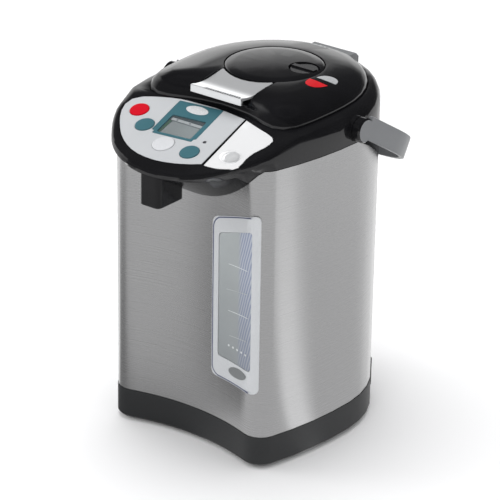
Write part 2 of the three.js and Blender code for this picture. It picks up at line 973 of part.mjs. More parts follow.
const levelSpur = Math.hypot(levelTubeX, levelTubeReach);
const levelSpurIn = (potRadius + seatGap + cutOver / 10) / levelSpur;
add('level_tube', (() => {
  const upright = [
    place(levelTubeX, -levelTubeReach, levelSpurZ - levelTubeRadius),
    place(levelTubeX, -levelTubeReach, potRim - levelTubeRadius),
  ];
  const spur = [
    place(levelTubeX, -levelTubeReach, levelSpurZ),
    place(levelTubeX * levelSpurIn, -levelTubeReach * levelSpurIn, levelSpurZ),
  ];
  const outer = join(pipe(upright, levelTubeRadius), pipe(spur, levelTubeRadius - 1));
  return cut(
    outer, pipe(extended(upright, -levelTubeRadius + levelTubeBore), levelTubeBore),
    pipe([spur[0], extended(spur, cutOver)[1]], levelTubeBore - 1),
  );
})(), clear);

// Head frame

const deckBottom = deckTop - deckThick;

function headCavity() {
  const ceiling = (i) => (halfStation(i) <= noseEnd
    ? rimLine[i].z - noseDeck : deckBottom);
  const edge = grown(lowerLine, -headWall);
  const below = lifted(edge, apronBottom - cutOver * 2);
  const above = lifted(edge, (point) => point.z + 1);
  const middle = lifted(grown(outerLine, -headWall), (point, i) => (
    Math.min(point.z - 1, ceiling(i) - 1)
  ));
  const high = lifted(grown(rimLine, -headWall), (point, i) => ceiling(i));
  return lofted([below, above, middle, high]);
}

// Moves a form drawn in the panel's plane to its place on the slope
const panelPlace = new THREE.Matrix4()
  .makeRotationX(panelSlope)
  .setPosition(0, -panelReach, rimFront);

function onPanel(geometry) {
  return geometry.clone().applyMatrix4(panelPlace);
}

function sharedLine(shares, steps) {
  const curve = new THREE.SplineCurve(shares.map(([x, down]) => new THREE.Vector2(
    x * panelHalfWidth, -down * panelLength,
  )));
  return curve.getSpacedPoints(steps);
}

// Outward for a line that runs either way round
function widened(line, distance) {
  const turnsLeft = THREE.ShapeUtils.area(line) > 0;
  return grown(line, turnsLeft ? distance : -distance);
}

const panelLine = sharedLine(panelLineShare, 2 * panelLineShare.length - 6);
const keyLine = sharedLine(keyLineShare, 2 * keyLineShare.length - 6);

function headFrame() {
  const shoulders = [shoulderLine(Math.PI / 6), shoulderLine(Math.PI / 3)];
  const skin = lofted([
    lifted(lowerLine, apronBottom - cutOver), lowerLine, between(lowerLine, outerLine, 0.55), outerLine, ...shoulders, rimLine,
  ]);
  const bosses = [1, -1].map((side) => axle(
    bossRadius, Math.min(side * bossInner, side * bossOuter),
    Math.max(side * bossInner, side * bossOuter), 0, pivotZ, roundSteps / 2,
  ));
  const [outside, inside] = [grown(lowerLine, 2), grown(lowerLine, -2 * headWall)];
  const floor = apronBottom - cutOver * 2;
  const trim = sleeve([
    lifted(outside, floor), lifted(outside, (point) => point.z),
    lifted(inside, (point) => point.z), lifted(inside, floor),
  ]);
  const body = cut(join(skin, ...bosses), headCavity(), trim);
  const keyTray = onPanel(plate(
    widened(keyLine, trayWall), -keyThick - keyRoom - trayWall, -noseDeck + trayWall,
  ));
  const collar = tubeWall(
    mouthRadius + collarWall, mouthRadius, 0, 0, collarBottom, deckTop - deckThick / 2,
  );
  const lidSeat = lidBlock(-slideGap, deckTop, totalHeight);
  const mouth = post(mouthRadius, 0, 0, collarBottom - cutOver, deckTop + cutOver);
  const latchPocket = block(
    -latchHalfWidth - slideGap, latchHalfWidth + slideGap,
    -latchTip - slideGap, -latchTip + latchThick * 2,
    latchBottom - slideGap, latchBottom + latchThick + slideGap,
  );
  const hingeNotch = block(
    -hingeHalfWidth - slideGap, hingeHalfWidth + slideGap,
    hingeCoverFront - slideGap, housingRadius + cutOver, hingeSeat, totalHeight,
  );
  const panelSeat = onPanel(plate(widened(panelLine, seatGap), -panelThick - seatGap, cutOver));
  const panelBay = onPanel(plate(widened(panelLine, -panelLedge), -bayDepth, cutOver));
  const boardBay = onPanel(plate(
    widened(panelLine, -boardInset + seatGap), -bayDepth, -boardDepth + seatGap,
  ));
  const keySeat = onPanel(plate(widened(keyLine, seatGap * 2), -keyThick - keyRoom, cutOver * 2));
  const axleHoles = [1, -1].map((side) => axle(
    axleRadius + seatGap, side > 0 ? axleInner - seatGap : -bossOuter - cutOver,
    side > 0 ? bossOuter + cutOver : -axleInner + seatGap, 0, pivotZ, detailSteps,
  ));
  return cut(
    join(body, collar, keyTray), lidSeat, mouth, latchPocket, hingeNotch,
    panelSeat, panelBay, boardBay, keySeat, ...axleHoles,
  );
}

add('head_frame', headFrame(), glossBlack);


// Spout housing, nozzle and outlet

function chinBody(shrink, sink, rise) {
  const last = frontSteps;
  const stations = [];
  for (let k = 0; k <= last; k += 1) {
    const inward = Math.min(shrink, shrink * chinCloseShare * (1 - k / (last + 1)));
    const edge = grown(lowerLine, k < last ? -seatGap - inward : seatGap)[k];
    const x = (chinReach * k) / last;
    const y = hollowCentre.y + Math.sqrt(hollowRadius ** 2 - x ** 2) - seatGap - inward;
    const low = Math.min(chinEdge(x) + sink, edge.z - 2 * seatGap + rise);
    const gap = k < last - 1 ? seatGap : seatGap * 3;
    stations.push([
      place(edge.x, edge.y, edge.z - gap + rise),
      place(x, y, low),
      place(x, y, Math.min(edge.z, k < last - 1 ? noseBottom : noseBottom - chinStep)
        - gap + rise),
    ]);
  }
  const mirrored = stations.slice(1).reverse().map((row) => (
    row.map((point) => place(-point.x, point.y, point.z))
  ));
  const rows = [...mirrored, ...stations];
  const faces = lineFaces(rows, false);
  const [first, end] = [rows[0], rows[rows.length - 1]];
  return fromFaces([...faces, first[2], first[1], first[0], end[0], end[1], end[2]]);
}

function spoutHousing() {
  const corners = [[-1, 1], [-1, 0], [1, 0], [1, 1]].map(([x, back]) => new THREE.Vector2(
    x * spoutHalfWidth, lerp(-spoutFront, -spoutBack, back),
  ));
  const column = plate(roundedPatch(corners, spoutCorner), spoutBottom, noseBottom - seatGap);
  const pocket = block(
    chinWall - spoutHalfWidth, spoutHalfWidth - chinWall,
    chinWall - spoutFront, -spoutBack - chinWall, spoutBottom + chinWall, noseBottom + cutOver,
  );
  const bore = post(
    nozzleRadius + seatGap, 0, -nozzleReach, spoutBottom - cutOver, noseBottom, detailSteps,
  );
  const outlet = pipe([
    place(0, -riserReach, outletZ), place(0, -nozzleReach, outletZ),
  ], riserRadius + seatGap);
  const shell = cut(chinBody(0, 0, 0), chinBody(chinWall, chinWall * 2, cutOver));
  return cut(join(shell, column), pocket, bore, outlet);
}

add('spout_housing', spoutHousing(), mattBlack);
add('spout_nozzle', tubeWall(
  nozzleRadius, nozzleBore, 0, -nozzleReach, spoutBottom - 1,
  outletZ - riserRadius - seatGap * 2, detailSteps,
), silicone);
add('outlet_elbow', pipeWall([
  place(0, -riserReach, outletZ - nozzleBore * 2), place(0, -riserReach, outletZ),
  place(0, -nozzleReach, outletZ), place(0, -nozzleReach, outletZ - riserRadius - seatGap),
], riserRadius, riserBore), silicone);

// Control panel

// Rectangle in the panel's plane, turned like the print on it
function turnedPatch(x, down, width, height, inset) {
  const middle = new THREE.Vector2(x, -down);
  const corners = [[-1, -1], [1, -1], [1, 1], [-1, 1]].map(([across, along]) => (
    new THREE.Vector2(across * (width / 2 - inset), along * (height / 2 - inset))
      .rotateAround(new THREE.Vector2(0, 0), panelTurn).add(middle)
  ));
  return roundedPatch(corners, displayCorner, 3);
}

function displayPlate(gap, z0, z1) {
  return join(
    plate(turnedPatch(displayX, displayDown, displayWidth, displayHeight, -gap), z0, z1),
    plate(turnedPatch(bandX, bandDown, bandWidth, bandLength, -gap), z0, z1),
  );
}

const buttons = [
  ['power_button', -65.9, 31, buttonRadius, red],
  ['boil_button', -46.5, 47.4, buttonRadius, teal],
  ['keep_warm_button', -11.6, 63.9, wideButtonRadius, panelSilver],
  ['unlock_button', 18.6, 63.9, buttonRadius, teal],
];

function controlPanel() {
  const sheet = plate(panelLine, -panelThick, 0);
  const holes = buttons.map(([, x, down, radius]) => post(
    radius + seatGap, x, -down, -panelThick - 1, 1, detailSteps * 2,
  ));
  const lamp = post(lampRadius + seatGap, lampX, -lampDown, -panelThick - 1, 1, detailSteps);
  return cut(sheet, displayPlate(seatGap, -panelThick - 1, 1), lamp, ...holes);
}

add('control_panel', onPanel(controlPanel()), panelSilver);
add('display_frame', onPanel(cut(
  displayPlate(0, -panelThick, 0),
  plate(
    turnedPatch(displayX, displayDown, displayWidth, displayHeight, displayRim),
    -panelThick - 1, 1,
  ),
)), teal);
add('display_window', onPanel(plate(
  turnedPatch(displayX, displayDown, displayWidth, displayHeight, displayRim + seatGap),
  -panelThick, -panelThick / 3,
)), clear);
add('display_module', onPanel(plate(
  turnedPatch(displayX, displayDown, displayWidth, displayHeight, moduleInset),
  -moduleBottom, -moduleTop,
)), displayGrey);
add('lamp_lens', onPanel(post(
  lampRadius, lampX, -lampDown, -panelThick, buttonCrown / 2, detailSteps,
)), red);
add('control_board', onPanel(plate(
  widened(panelLine, -boardInset), -boardDepth - boardThick, -boardDepth,
)), boardGreen);

for (const [name, x, down, radius, material] of buttons) {
  const cap = turned([
    [0, -buttonDepth], [buttonStem, -buttonDepth], [buttonStem, -buttonSink],
    [radius, -buttonSink], [radius, buttonRise - buttonCrown],
    [radius - buttonCrown, buttonRise], [0, buttonRise + buttonCrown],
  ], x, -down, detailSteps * 2);
  add(name, onPanel(cap), material);
}

function dispenseKey() {
  const sheet = plate(keyLine, -keyThick, 0);
  const nub = turned([
    [0, -keyThick / 2], [nubRadius, -keyThick / 2], [nubRadius, nubRise * 0.3],
    [nubRadius * 0.8, nubRise * 0.75], [nubRadius * 0.4, nubRise * 0.95], [0, nubRise],
  ], nubX, -nubDown, detailSteps * 2);
  return join(sheet, nub);
}

add('dispense_key', onPanel(dispenseKey()), brightChrome);

// Lid

function lidRingAt(inset, scale, share, drop) {
  const line = grown(lidLine, -inset);
  return line.map((point) => {
    const rim = topHeight(point.y);
    const spot = point.clone().sub(lidCentre).multiplyScalar(scale).add(lidCentre);
    return place(spot.x, spot.y, lerp(rim, lidPlateau, share) - drop);
  });
}

function lidSolid(wall, bottom) {
  const dome = lidDomeShare.map(([scale, share], i) => (
    lidRingAt(lidDomeInset[i] + wall, scale, share, wall)
  ));
  const foot = lifted(grown(lidLine, -lidDraft - wall), bottom);
  return lofted([foot, ...dome]);
}

function recessForm(drop, widen) {
  const floor = recessLine.map(([reach, height]) => [-reach, height - drop]);
  const top = totalHeight + cutOver;
  return sideProfile([
    ...floor, [-recessLine[recessLine.length - 1][0], top], [-recessLine[0][0], top],
  ].reverse(), -recessHalfWidth - widen, recessHalfWidth + widen);
}

function lidCover() {
  const outer = lidSolid(0, lidBottom);
  const shell = cut(outer, lidSolid(lidWall, lidBottom - cutOver));
  const tray = common(outer, recessForm(recessWall, recessWall));
  const rim = common(outer, tubeWall(
    pumpRadius + pumpGap + holeSkirt, pumpRadius, 0, pumpY, holeSkirtBottom, totalHeight,
  ));
  const hole = post(pumpRadius + pumpGap, 0, pumpY, lidBottom, totalHeight + cutOver);
  const notch = block(
    -hingeHalfWidth - seatGap, hingeHalfWidth + seatGap,
    hingeCoverFront - seatGap, housingRadius + cutOver, lidBottom - cutOver, totalHeight,
  );
  const latchSlot = block(
    -latchHalfWidth - seatGap, latchHalfWidth + seatGap, -latchTip, -latchRear,
    latchBottom - seatGap, latchBottom + latchThick + seatGap,
  );
  const pivot = axle(
    leverPinRadius + seatGap / 2, -recessHalfWidth - recessWall / 2,
    recessHalfWidth + recessWall / 2, leverPivotY, leverPivotZ, detailSteps,
  );
  const vent = block(
    ventLeft - seatGap, ventRight + seatGap, ventFront - seatGap, ventRear + seatGap,
    lidBottom, totalHeight,
  );
  return cut(join(shell, tray, rim), recessForm(0, 0), hole, notch, latchSlot, pivot, vent);
}

add('lid_cover', lidCover(), glossBlack);

function steamVent() {
  const piece = common(
    cut(lidSolid(0, lidBottom), lidSolid(ventDepth, lidBottom - cutOver)),
    block(ventLeft, ventRight, ventFront, ventRear, lidBottom, totalHeight),
  );
  const slots = [];
  for (let i = 0; i < ventSlots; i += 1) {
    const x = lerp(ventLeft, ventRight, (i + 0.5) / ventSlots);
    slots.push(block(
      x - ventSlotWidth / 2, x + ventSlotWidth / 2, ventFront + 1, ventRear - 1,
      lidBottom, totalHeight,
    ));
  }
  return cut(piece, ...slots);
}

add('steam_vent', steamVent(), mattBlack);

function lidPlate() {
  const flange = lidBlock(lidWall + lidDraft + seatGap, lidBottom + seatGap, flangeTop);
  const cup = turned([
    [0, lidFloor], [cupRadius - cupTaper, lidFloor], [cupRadius, flangeTop - 1],
    [cupRadius - cupWall, flangeTop - 1],
    [cupRadius - cupTaper - cupWall, lidFloor + lidFloorThick], [0, lidFloor + lidFloorThick],
  ]);
  const opening = post(
    cupRadius - cupWall - seatGap, 0, 0, lidBottom - cutOver, flangeTop + cutOver,
  );
  const bridge = block(
    -latchBridge, latchBridge, -cupRadius, -latchRear + cutOver,
    flangeTop - lidFloorThick, flangeTop,
  );
  const notch = block(
    -hingeHalfWidth - slideGap, hingeHalfWidth + slideGap,
    hingeCoverFront - slideGap, housingRadius, lidFloor, totalHeight,
  );
  return join(cut(flange, opening, notch), cup, bridge);
}

add('lid_plate', lidPlate(), bareSteel);

const cupAtGasket = cupRadius + seatGap;
add('lid_gasket', tubeWall(
  gasketRadius, cupAtGasket, 0, 0, gasketBottom, gasketTop,
), silicone);

// Air pump in the lid

function pumpDisc() {
  const crown = pumpCrownShare.map(([share, drop]) => [share * pumpRadius, totalHeight - drop]);
  const under = totalHeight - pumpCrownShare[3][1] - pumpThick;
  const disc = turned([
    [0, pumpBottom], [pumpBossRadius, pumpBottom], [pumpBossRadius, under],
    [pumpRadius - pumpWall, under], [pumpRadius - pumpWall, pumpBottom],
    [pumpRadius, pumpBottom], [pumpRadius, totalHeight - pumpEdgeDrop], ...crown.reverse(),
  ], 0, pumpY);
  const floor = knobTop - knobDepth;
  const seat = post(
    knobRadius + knobWall, knobX, knobY, floor - knobWall, under + pumpThick / 2,
    detailSteps * 2,
  );
  const pocket = post(
    knobRadius + seatGap, knobX, knobY, floor, totalHeight + cutOver, detailSteps * 2,
  );
  const stem = post(
    knobStem + seatGap, knobX, knobY, floor - cutOver, floor + cutOver, detailSteps,
  );
  return cut(join(disc, seat), pocket, stem);
}

add('pump_disc', pumpDisc(), glossBlack);

function lockKnob() {
  const floor = knobTop - knobDepth + seatGap;
  const body = turned([
    [0, knobStemEnd], [knobStem, knobStemEnd], [knobStem, floor], [knobRadius, floor],
    [knobRadius, knobTop - hubRound], [knobRadius - hubRound, knobTop], [0, knobTop],
  ], knobX, knobY, detailSteps * 2);
  const grip = block(
    knobX - knobRadius + hubRound, knobX + knobRadius - hubRound,
    knobY - gripWidth / 2, knobY + gripWidth / 2, knobTop - hubRound, gripTop,
  );
  return join(body, grip);
}

add('lock_knob', lockKnob(), glossBlack);

function bellowsWallLine() {
  const bottom = lidFloor + lidFloorThick + seatGap;
  const step = (bellowsTop - bottom) / (2 * bellowsFolds);
  const outer = [];
  for (let i = 0; i <= 2 * bellowsFolds; i += 1) {
    const radius = i % 2 ? bellowsRadius : bellowsRadius - bellowsFold;
    outer.push([radius, bottom + i * step]);
  }
  const inner = outer.map(([radius, height]) => [radius - bellowsWall, height]).reverse();
  return [...outer, ...inner];
}

add('bellows', turned(bellowsWallLine(), 0, pumpY, detailSteps * 1.5), rubber);

// Wire wound round the pump's axis, closed flat at both ends
function coilSpring() {
  const from = lidFloor + lidFloorThick + seatGap + springWire;
  const to = bellowsTop - springWire * 2;
  const steps = springTurns * wireSteps;
  const rings = [];
  for (let i = 0; i <= steps; i += 1) {
    const turn = (i / wireSteps) * 2 * Math.PI;
    const outward = place(Math.cos(turn), Math.sin(turn), 0);
    const along = place(-Math.sin(turn), Math.cos(turn), 0);
    const side = along.cross(outward);
    const middle = outward.clone().multiplyScalar(springRadius);
    middle.add(place(0, pumpY, lerp(from, to, i / steps)));
    rings.push(arc(new THREE.Vector2(0, 0), springWire, 0, 2 * Math.PI, wireSides)
      .slice(0, -1)
      .map((spot) => middle.clone().addScaledVector(outward, spot.x).addScaledVector(side, spot.y)));
  }
  const faces = lineFaces(rings, false);
  for (let i = 1; i + 1 < wireSides; i += 1) {
    const [low, high] = [rings[0], rings[steps]];
    faces.push(low[0], low[i + 1], low[i], high[0], high[i], high[i + 1]);
  }
  return fromFaces(faces);
}

add('bellows_spring', coilSpring(), galvanised);

// Lid lever and latch

function lidLever() {
  const line = [...leverTopLine, ...leverUnderLine].map(([reach, height]) => [-reach, height]);
  const form = sideProfile(line, -leverHalfWidth, leverHalfWidth);
  const round = post(leverClear, 0, pumpY, lidPlateau - cutOver * 3, totalHeight + cutOver);
  const pins = axle(
    leverPinRadius, -recessHalfWidth - recessWall / 4, recessHalfWidth + recessWall / 4,
    leverPivotY, leverPivotZ, detailSteps,
  );
  const middle = block(
    -leverHalfWidth + recessWall, leverHalfWidth - recessWall,
    leverPivotY - cutOver, leverPivotY + cutOver, leverPivotZ - cutOver, leverPivotZ + cutOver,
  );
  return join(cut(form, round), cut(pins, middle));
}

add('lid_lever', lidLever(), brightChrome);
add('lid_latch', block(
  -latchHalfWidth, latchHalfWidth, -latchTip, -latchRear, latchBottom, latchBottom + latchThick,
), mattBlack);

// Lid hinge

const tongueTop = hingeZ + tongueRadius;
add('hinge_bracket', (() => {
  const foot = block(
    -tongueHalfWidth, tongueHalfWidth, tongueFoot, hingeY,
    hingeSeat + seatGap, hingeSeat + seatGap + tongueThick,
  );
  const tongue = block(
    -tongueHalfWidth, tongueHalfWidth, hingeY - tongueRadius + 1, hingeY,
    hingeSeat + seatGap, hingeZ,
  );
  const barrel = axle(tongueRadius, -tongueHalfWidth, tongueHalfWidth, hingeY, hingeZ, detailSteps);
  const bore = axle(
    hingePinRadius + seatGap, -tongueHalfWidth - 1, tongueHalfWidth + 1, hingeY, hingeZ,
    detailSteps,
  );
  return cut(join(foot, tongue, barrel), bore);
})(), galvanised);
add('hinge_pin', axle(
  hingePinRadius, -hingePinHalf, hingePinHalf, hingeY, hingeZ, detailSteps,
), bareSteel);

function hingeCoverForm(wall, bottom) {
  const front = -hingeCoverBack + wall;
  const back = -hingeCoverFront - wall;
  const top = hingeCoverTop - wall;
  const round = hingeCoverRound - wall / 2;
  return sideProfile([
    [-front, bottom], [-front, top - round], [-front - round, top],
    [-back, top], [-back, bottom],
  ], -hingeHalfWidth + wall, hingeHalfWidth - wall);
}

add('hinge_cover', (() => {
  const shell = cut(
    hingeCoverForm(0, hingeCoverBottom), hingeCoverForm(hingeCoverWall, hingeCoverBottom - 1),
  );
  const slot = block(
    -tongueHalfWidth - slideGap, tongueHalfWidth + slideGap,
    hingeY + tongueRadius - 1, hingeCoverBack + 1, hingeCoverBottom - 1, hingeZ + 1,
  );
  const lugs = [];
  const bores = [];
  for (const side of [1, -1]) {
    const [x0, x1] = [side * lugInner, side * lugOuter].sort((a, b) => a - b);
    lugs.push(axle(tongueRadius, x0, x1, hingeY, hingeZ, detailSteps));
    lugs.push(block(
      x0, x1, hingeY - tongueRadius, hingeY + tongueRadius, hingeZ,
      hingeCoverTop - hingeCoverWall + seatGap,
    ));
    bores.push(axle(hingePinRadius + seatGap, x0 - 1, x1 + 1, hingeY, hingeZ, detailSteps));
  }
  return cut(join(cut(shell, slot), ...lugs), ...bores);
})(), grey);

// Carry handle

const bailPlace = new THREE.Matrix4()
  .makeRotationX(-foldAngle)
  .setPosition(0, 0, pivotZ);

// Outline of the bail, grown by a gap where the hubs make room for it
function bailLine(gap) {
  const outer = bailHalfWidth + gap;
  const inner = bailHalfWidth - bailThick - gap;
  const middle = new THREE.Vector2(bailHalfWidth - bailCorner, bailLength - bailCorner);
  const right = arc(middle, bailCorner + gap, 0, Math.PI / 2, detailSteps / 2);
  const back = arc(middle, bailCorner - bailThick - gap, Math.PI / 2, 0, detailSteps / 2);
  const mirror = (points) => points.map((point) => new THREE.Vector2(-point.x, point.y)).reverse();
  return [
    new THREE.Vector2(outer, bailStart - gap), ...right, ...mirror(right),
    new THREE.Vector2(-outer, bailStart - gap), new THREE.Vector2(-inner, bailStart - gap),
    ...mirror(back), ...back, new THREE.Vector2(inner, bailStart - gap),
  ];
}

function bail(gap) {
  const low = bailRaise - bailWidth / 2 - gap;
  const high = bailRaise + bailWidth / 2 + gap;
  return plate(bailLine(gap), low, high).applyMatrix4(bailPlace);
}

add('handle_bail', bail(0), grey);

for (const [name, side] of [['handle_hub_right', 1], ['handle_hub_left', -1]]) {
  const profile = [
    [0, axleInner], [axleRadius, axleInner], [axleRadius, bossOuter + seatGap],
    [hubRadius, bossOuter + seatGap], [hubRadius, hubOuter - hubRound],
    [hubRadius - hubRound, hubOuter], [0, hubOuter],
  ];
  const hub = turned(profile, 0, 0, detailSteps * 2);
  hub.rotateY(side * Math.PI / 2).translate(0, 0, pivotZ);
  add(name, cut(hub, bail(seatGap)), glossBlack);
}

// Inner pot and heater

function potProfile() {
  const outer = potNeckShare.map(([share, height]) => [lerp(potRadius, potNeck, share), height]);
  const inner = outer.map(([radius, height]) => [radius - potWall, height]).reverse();
  return [
    [potDrain, potFloor], [potRadius - potWall * 3, potFloor], [potRadius, potFloor + potWall * 3],
    ...outer, [potNeck, potRim - potWall], [potFlange, potRim - potWall], [potFlange, potRim],
    [potNeck - potWall, potRim], ...inner, [potRadius - potWall, potFloor + potWall * 4],
    [potRadius - potWall * 4, potFloor + potWall], [potDrain, potFloor + potWall],
  ];
}

add('inner_pot', cut(
  turned(potProfile()),
  post(potDrain + 1, 0, -motorReach, potFloor - cutOver, potFloor + cutOver, detailSteps),
), bareSteel);
add('pot_seal', tubeWall(
  potFlange, potFlange - potSealWall - 2, 0, 0, potRim + seatGap, collarBottom - seatGap,
), silicone);

const heaterTop = potFloor - heaterGap;
const spigotHole = post(
  spigotRadius + seatGap, 0, -motorReach, heaterTop - cutOver * 3, heaterTop + cutOver,
  detailSteps,
);
add('heater_plate', cut(
  post(heaterRadius, 0, 0, heaterTop - heaterThick, heaterTop), spigotHole,
), bareSteel);
add('heater_band', tubeWall(
  potRadius + seatGap + bandThick, potRadius + seatGap, 0, 0,
  potFloor + potWall * 4, potFloor + potWall * 4 + bandHeight,
), galvanised);
add('thermostat', post(
  thermostatRadius, 0, 0, heaterTop - heaterThick - seatGap - thermostatHeight,
  heaterTop - heaterThick - seatGap, detailSteps,
), bareSteel);

const pumpCaseBottom = plateTop + seatGap * 2 + motorHeight;
const pumpCaseTop = pumpCaseBottom + pumpCaseHeight;
const pumpCaseMiddle = (pumpCaseBottom + pumpCaseTop) / 2;

add('pot_cradle', cut(
  tubeWall(
    cradleRadius, cradleRadius - cradleWall, 0, 0, plateTop + seatGap, potFloor - seatGap,
  ),
  pipe([
    place(0, -motorReach, pumpCaseMiddle), place(0, -riserReach, pumpCaseMiddle),
  ], riserRadius + seatGap * 2),
), mattBlack);

// Water pump and riser

add('pump_motor', post(
  motorRadius, 0, -motorReach, plateTop + seatGap, pumpCaseBottom - seatGap, detailSteps * 2,
), galvanised);
add('pump_housing', (() => {
  const body = post(
    pumpCaseRadius, 0, -motorReach, pumpCaseBottom, pumpCaseTop, detailSteps * 2,
  );
  const spigot = post(
    spigotRadius, 0, -motorReach, pumpCaseTop - 1, potFloor - seatGap, detailSteps,
  );
  const chamber = post(
    potDrain + 1, 0, -motorReach, pumpCaseMiddle, potFloor + cutOver, detailSteps,
  );
  const outlet = pipe([
    place(0, -motorReach, pumpCaseMiddle), place(0, -riserReach, pumpCaseMiddle),
  ], riserBore);
  return cut(join(body, spigot), chamber, outlet);
})(), white);
add('riser_tube', pipeWall([
  place(0, -motorReach - pumpCaseRadius - seatGap, pumpCaseMiddle),
  place(0, -riserReach, pumpCaseMiddle),
  place(0, -riserReach, outletZ - nozzleBore * 2 - seatGap),
], riserRadius, riserBore), silicone);

// Electrics

add('power_board', (() => {
  const bottom = plateTop + powerBoardRaise + seatGap;
  const top = bottom + powerBoardThick;
  const halfWidth = powerBoardWidth / 2;
  const sheet = block(
    -halfWidth, halfWidth, powerBoardY - powerBoardDepth / 2, powerBoardY + powerBoardDepth / 2,
    bottom, top,
  );
  const parts = boardPartShare.map(([x, y, width, depth, height]) => block(
    (x - width) * halfWidth, (x + width) * halfWidth,
    powerBoardY + (y - depth) * halfWidth, powerBoardY + (y + depth) * halfWidth,
    top - powerBoardThick / 2, top + height * halfWidth,
  ));
  return join(sheet, ...parts);
})(), boardGreen);

add('power_inlet', (() => {
  const body = inletBlock(
    inletWidth / 2, housingRadius - inletDepth, housingRadius + inletProud, inletBottom, inletTop,
  );
  const socket = inletBlock(
    socketHalfWidth, housingRadius + inletProud - socketDepth, housingRadius + cutOver,
    socketBottom, socketTop,
  );
  const pins = [-1, 0, 1].map((side) => {
    const pin = block(
      housingRadius - socketDepth, housingRadius - 1, side * pinPitch - 1, side * pinPitch + 1,
      (socketBottom + socketTop) / 2 - pinPitch / 3, (socketBottom + socketTop) / 2 + pinPitch / 3,
    );
    return pin.rotateZ(inletAngle);
  });
  return join(cut(body, socket), ...pins);
})(), mattBlack);

const rearReach = bailLength * Math.cos(foldAngle)
  + (bailRaise + bailWidth / 2) * Math.sin(foldAngle);
pot.position.y = (noseReach - rearReach) / 2;
const whole = new THREE.Group();
whole.add(pot);

export default whole;
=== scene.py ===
import json
import math

import bmesh
import bpy
from mathutils import Matrix, Vector
from mathutils.bvhtree import BVHTree


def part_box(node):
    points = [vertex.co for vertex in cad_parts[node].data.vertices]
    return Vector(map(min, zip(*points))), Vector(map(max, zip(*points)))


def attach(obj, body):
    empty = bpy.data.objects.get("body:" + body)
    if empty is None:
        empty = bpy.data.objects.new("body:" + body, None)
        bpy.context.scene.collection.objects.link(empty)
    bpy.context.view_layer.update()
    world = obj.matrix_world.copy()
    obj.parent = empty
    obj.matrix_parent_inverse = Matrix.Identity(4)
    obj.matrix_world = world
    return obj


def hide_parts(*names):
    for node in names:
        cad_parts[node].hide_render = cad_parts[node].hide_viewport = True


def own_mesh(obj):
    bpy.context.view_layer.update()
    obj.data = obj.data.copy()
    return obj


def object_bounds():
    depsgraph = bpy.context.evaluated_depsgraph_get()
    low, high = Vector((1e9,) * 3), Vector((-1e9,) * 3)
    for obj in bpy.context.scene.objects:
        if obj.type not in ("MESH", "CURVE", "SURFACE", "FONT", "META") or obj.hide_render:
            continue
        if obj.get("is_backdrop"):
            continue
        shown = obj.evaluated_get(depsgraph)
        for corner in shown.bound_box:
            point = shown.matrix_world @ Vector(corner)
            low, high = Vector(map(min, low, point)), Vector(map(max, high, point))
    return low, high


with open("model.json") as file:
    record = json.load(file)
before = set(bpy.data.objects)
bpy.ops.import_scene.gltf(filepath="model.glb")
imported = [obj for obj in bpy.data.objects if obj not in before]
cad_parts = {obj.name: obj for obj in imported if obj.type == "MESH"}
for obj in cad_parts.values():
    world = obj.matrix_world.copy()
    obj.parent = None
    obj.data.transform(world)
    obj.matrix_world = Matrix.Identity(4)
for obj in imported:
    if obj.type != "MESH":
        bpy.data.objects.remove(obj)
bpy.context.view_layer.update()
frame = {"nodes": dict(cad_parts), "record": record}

# The camera stands to the right of the spout and looks down a little at the pot.
# It is a long lens from two and a half metres, so the upright edges stay nearly parallel.
eye = Vector((1.4024, -1.80345, 1.2013))
view_right = Vector((0.78586, 0.61822, 0.01476))
view_up = Vector((-0.26547, 0.31572, 0.91096))
camera_data = bpy.data.cameras.new("camera")
camera_data.sensor_width = 36
camera_data.lens = 192.36
camera_data.clip_start = 0.1
camera_data.clip_end = 50
camera = bpy.data.objects.new("camera", camera_data)
view_back = view_right.cross(view_up).normalized()
view_up = view_back.cross(view_right).normalized()
turn = Matrix((view_right.normalized(), view_up, view_back)).transposed()
camera.matrix_world = Matrix.Translation(eye) @ turn.to_4x4()
bpy.context.scene.collection.objects.link(camera)
bpy.context.scene.camera = camera
bpy.context.scene.view_settings.view_transform = "Standard"

# The floor is one wide sheet of pale paper that runs to the horizon. The camera sees it bare, and
# metal and gloss see bands of white and grey card on it, fanned out round the pot.
floor_half = 12.0
paper_white, paper_in_gloss = 0.93, 0.95
sheet_form = bmesh.new()
bmesh.ops.create_grid(sheet_form, x_segments=1, y_segments=1, size=floor_half)
sheet_mesh = bpy.data.meshes.new("floor")
sheet_form.to_mesh(sheet_mesh)
sheet_form.free()
floor = bpy.data.objects.new("floor", sheet_mesh)
bpy.context.scene.collection.objects.link(floor)
paper = bpy.data.materials.new("floor_paper")
paper.use_nodes = True
paper_shader = paper.node_tree.nodes["Principled BSDF"]
paper_shader.inputs["Base Color"].default_value = (*[paper_white] * 3, 1)
paper_shader.inputs["Roughness"].default_value = 0.9
paper_shader.inputs["Specular IOR Level"].default_value = 0.1


def grey_steps(tree, steps):
    """A ramp of greys from pairs of a place from 0 to 1 and a brightness"""
    ramp = tree.nodes.new("ShaderNodeValToRGB")
    first, last = ramp.color_ramp.elements
    first.position, last.position = 0.0, 1.0
    first.color = (*[steps[0][1]] * 3, 1)
    last.color = (*[steps[-1][1]] * 3, 1)
    for place, tone in steps[1:-1]:
        ramp.color_ramp.elements.new(place).color = (tone, tone, tone, 1)
    return ramp


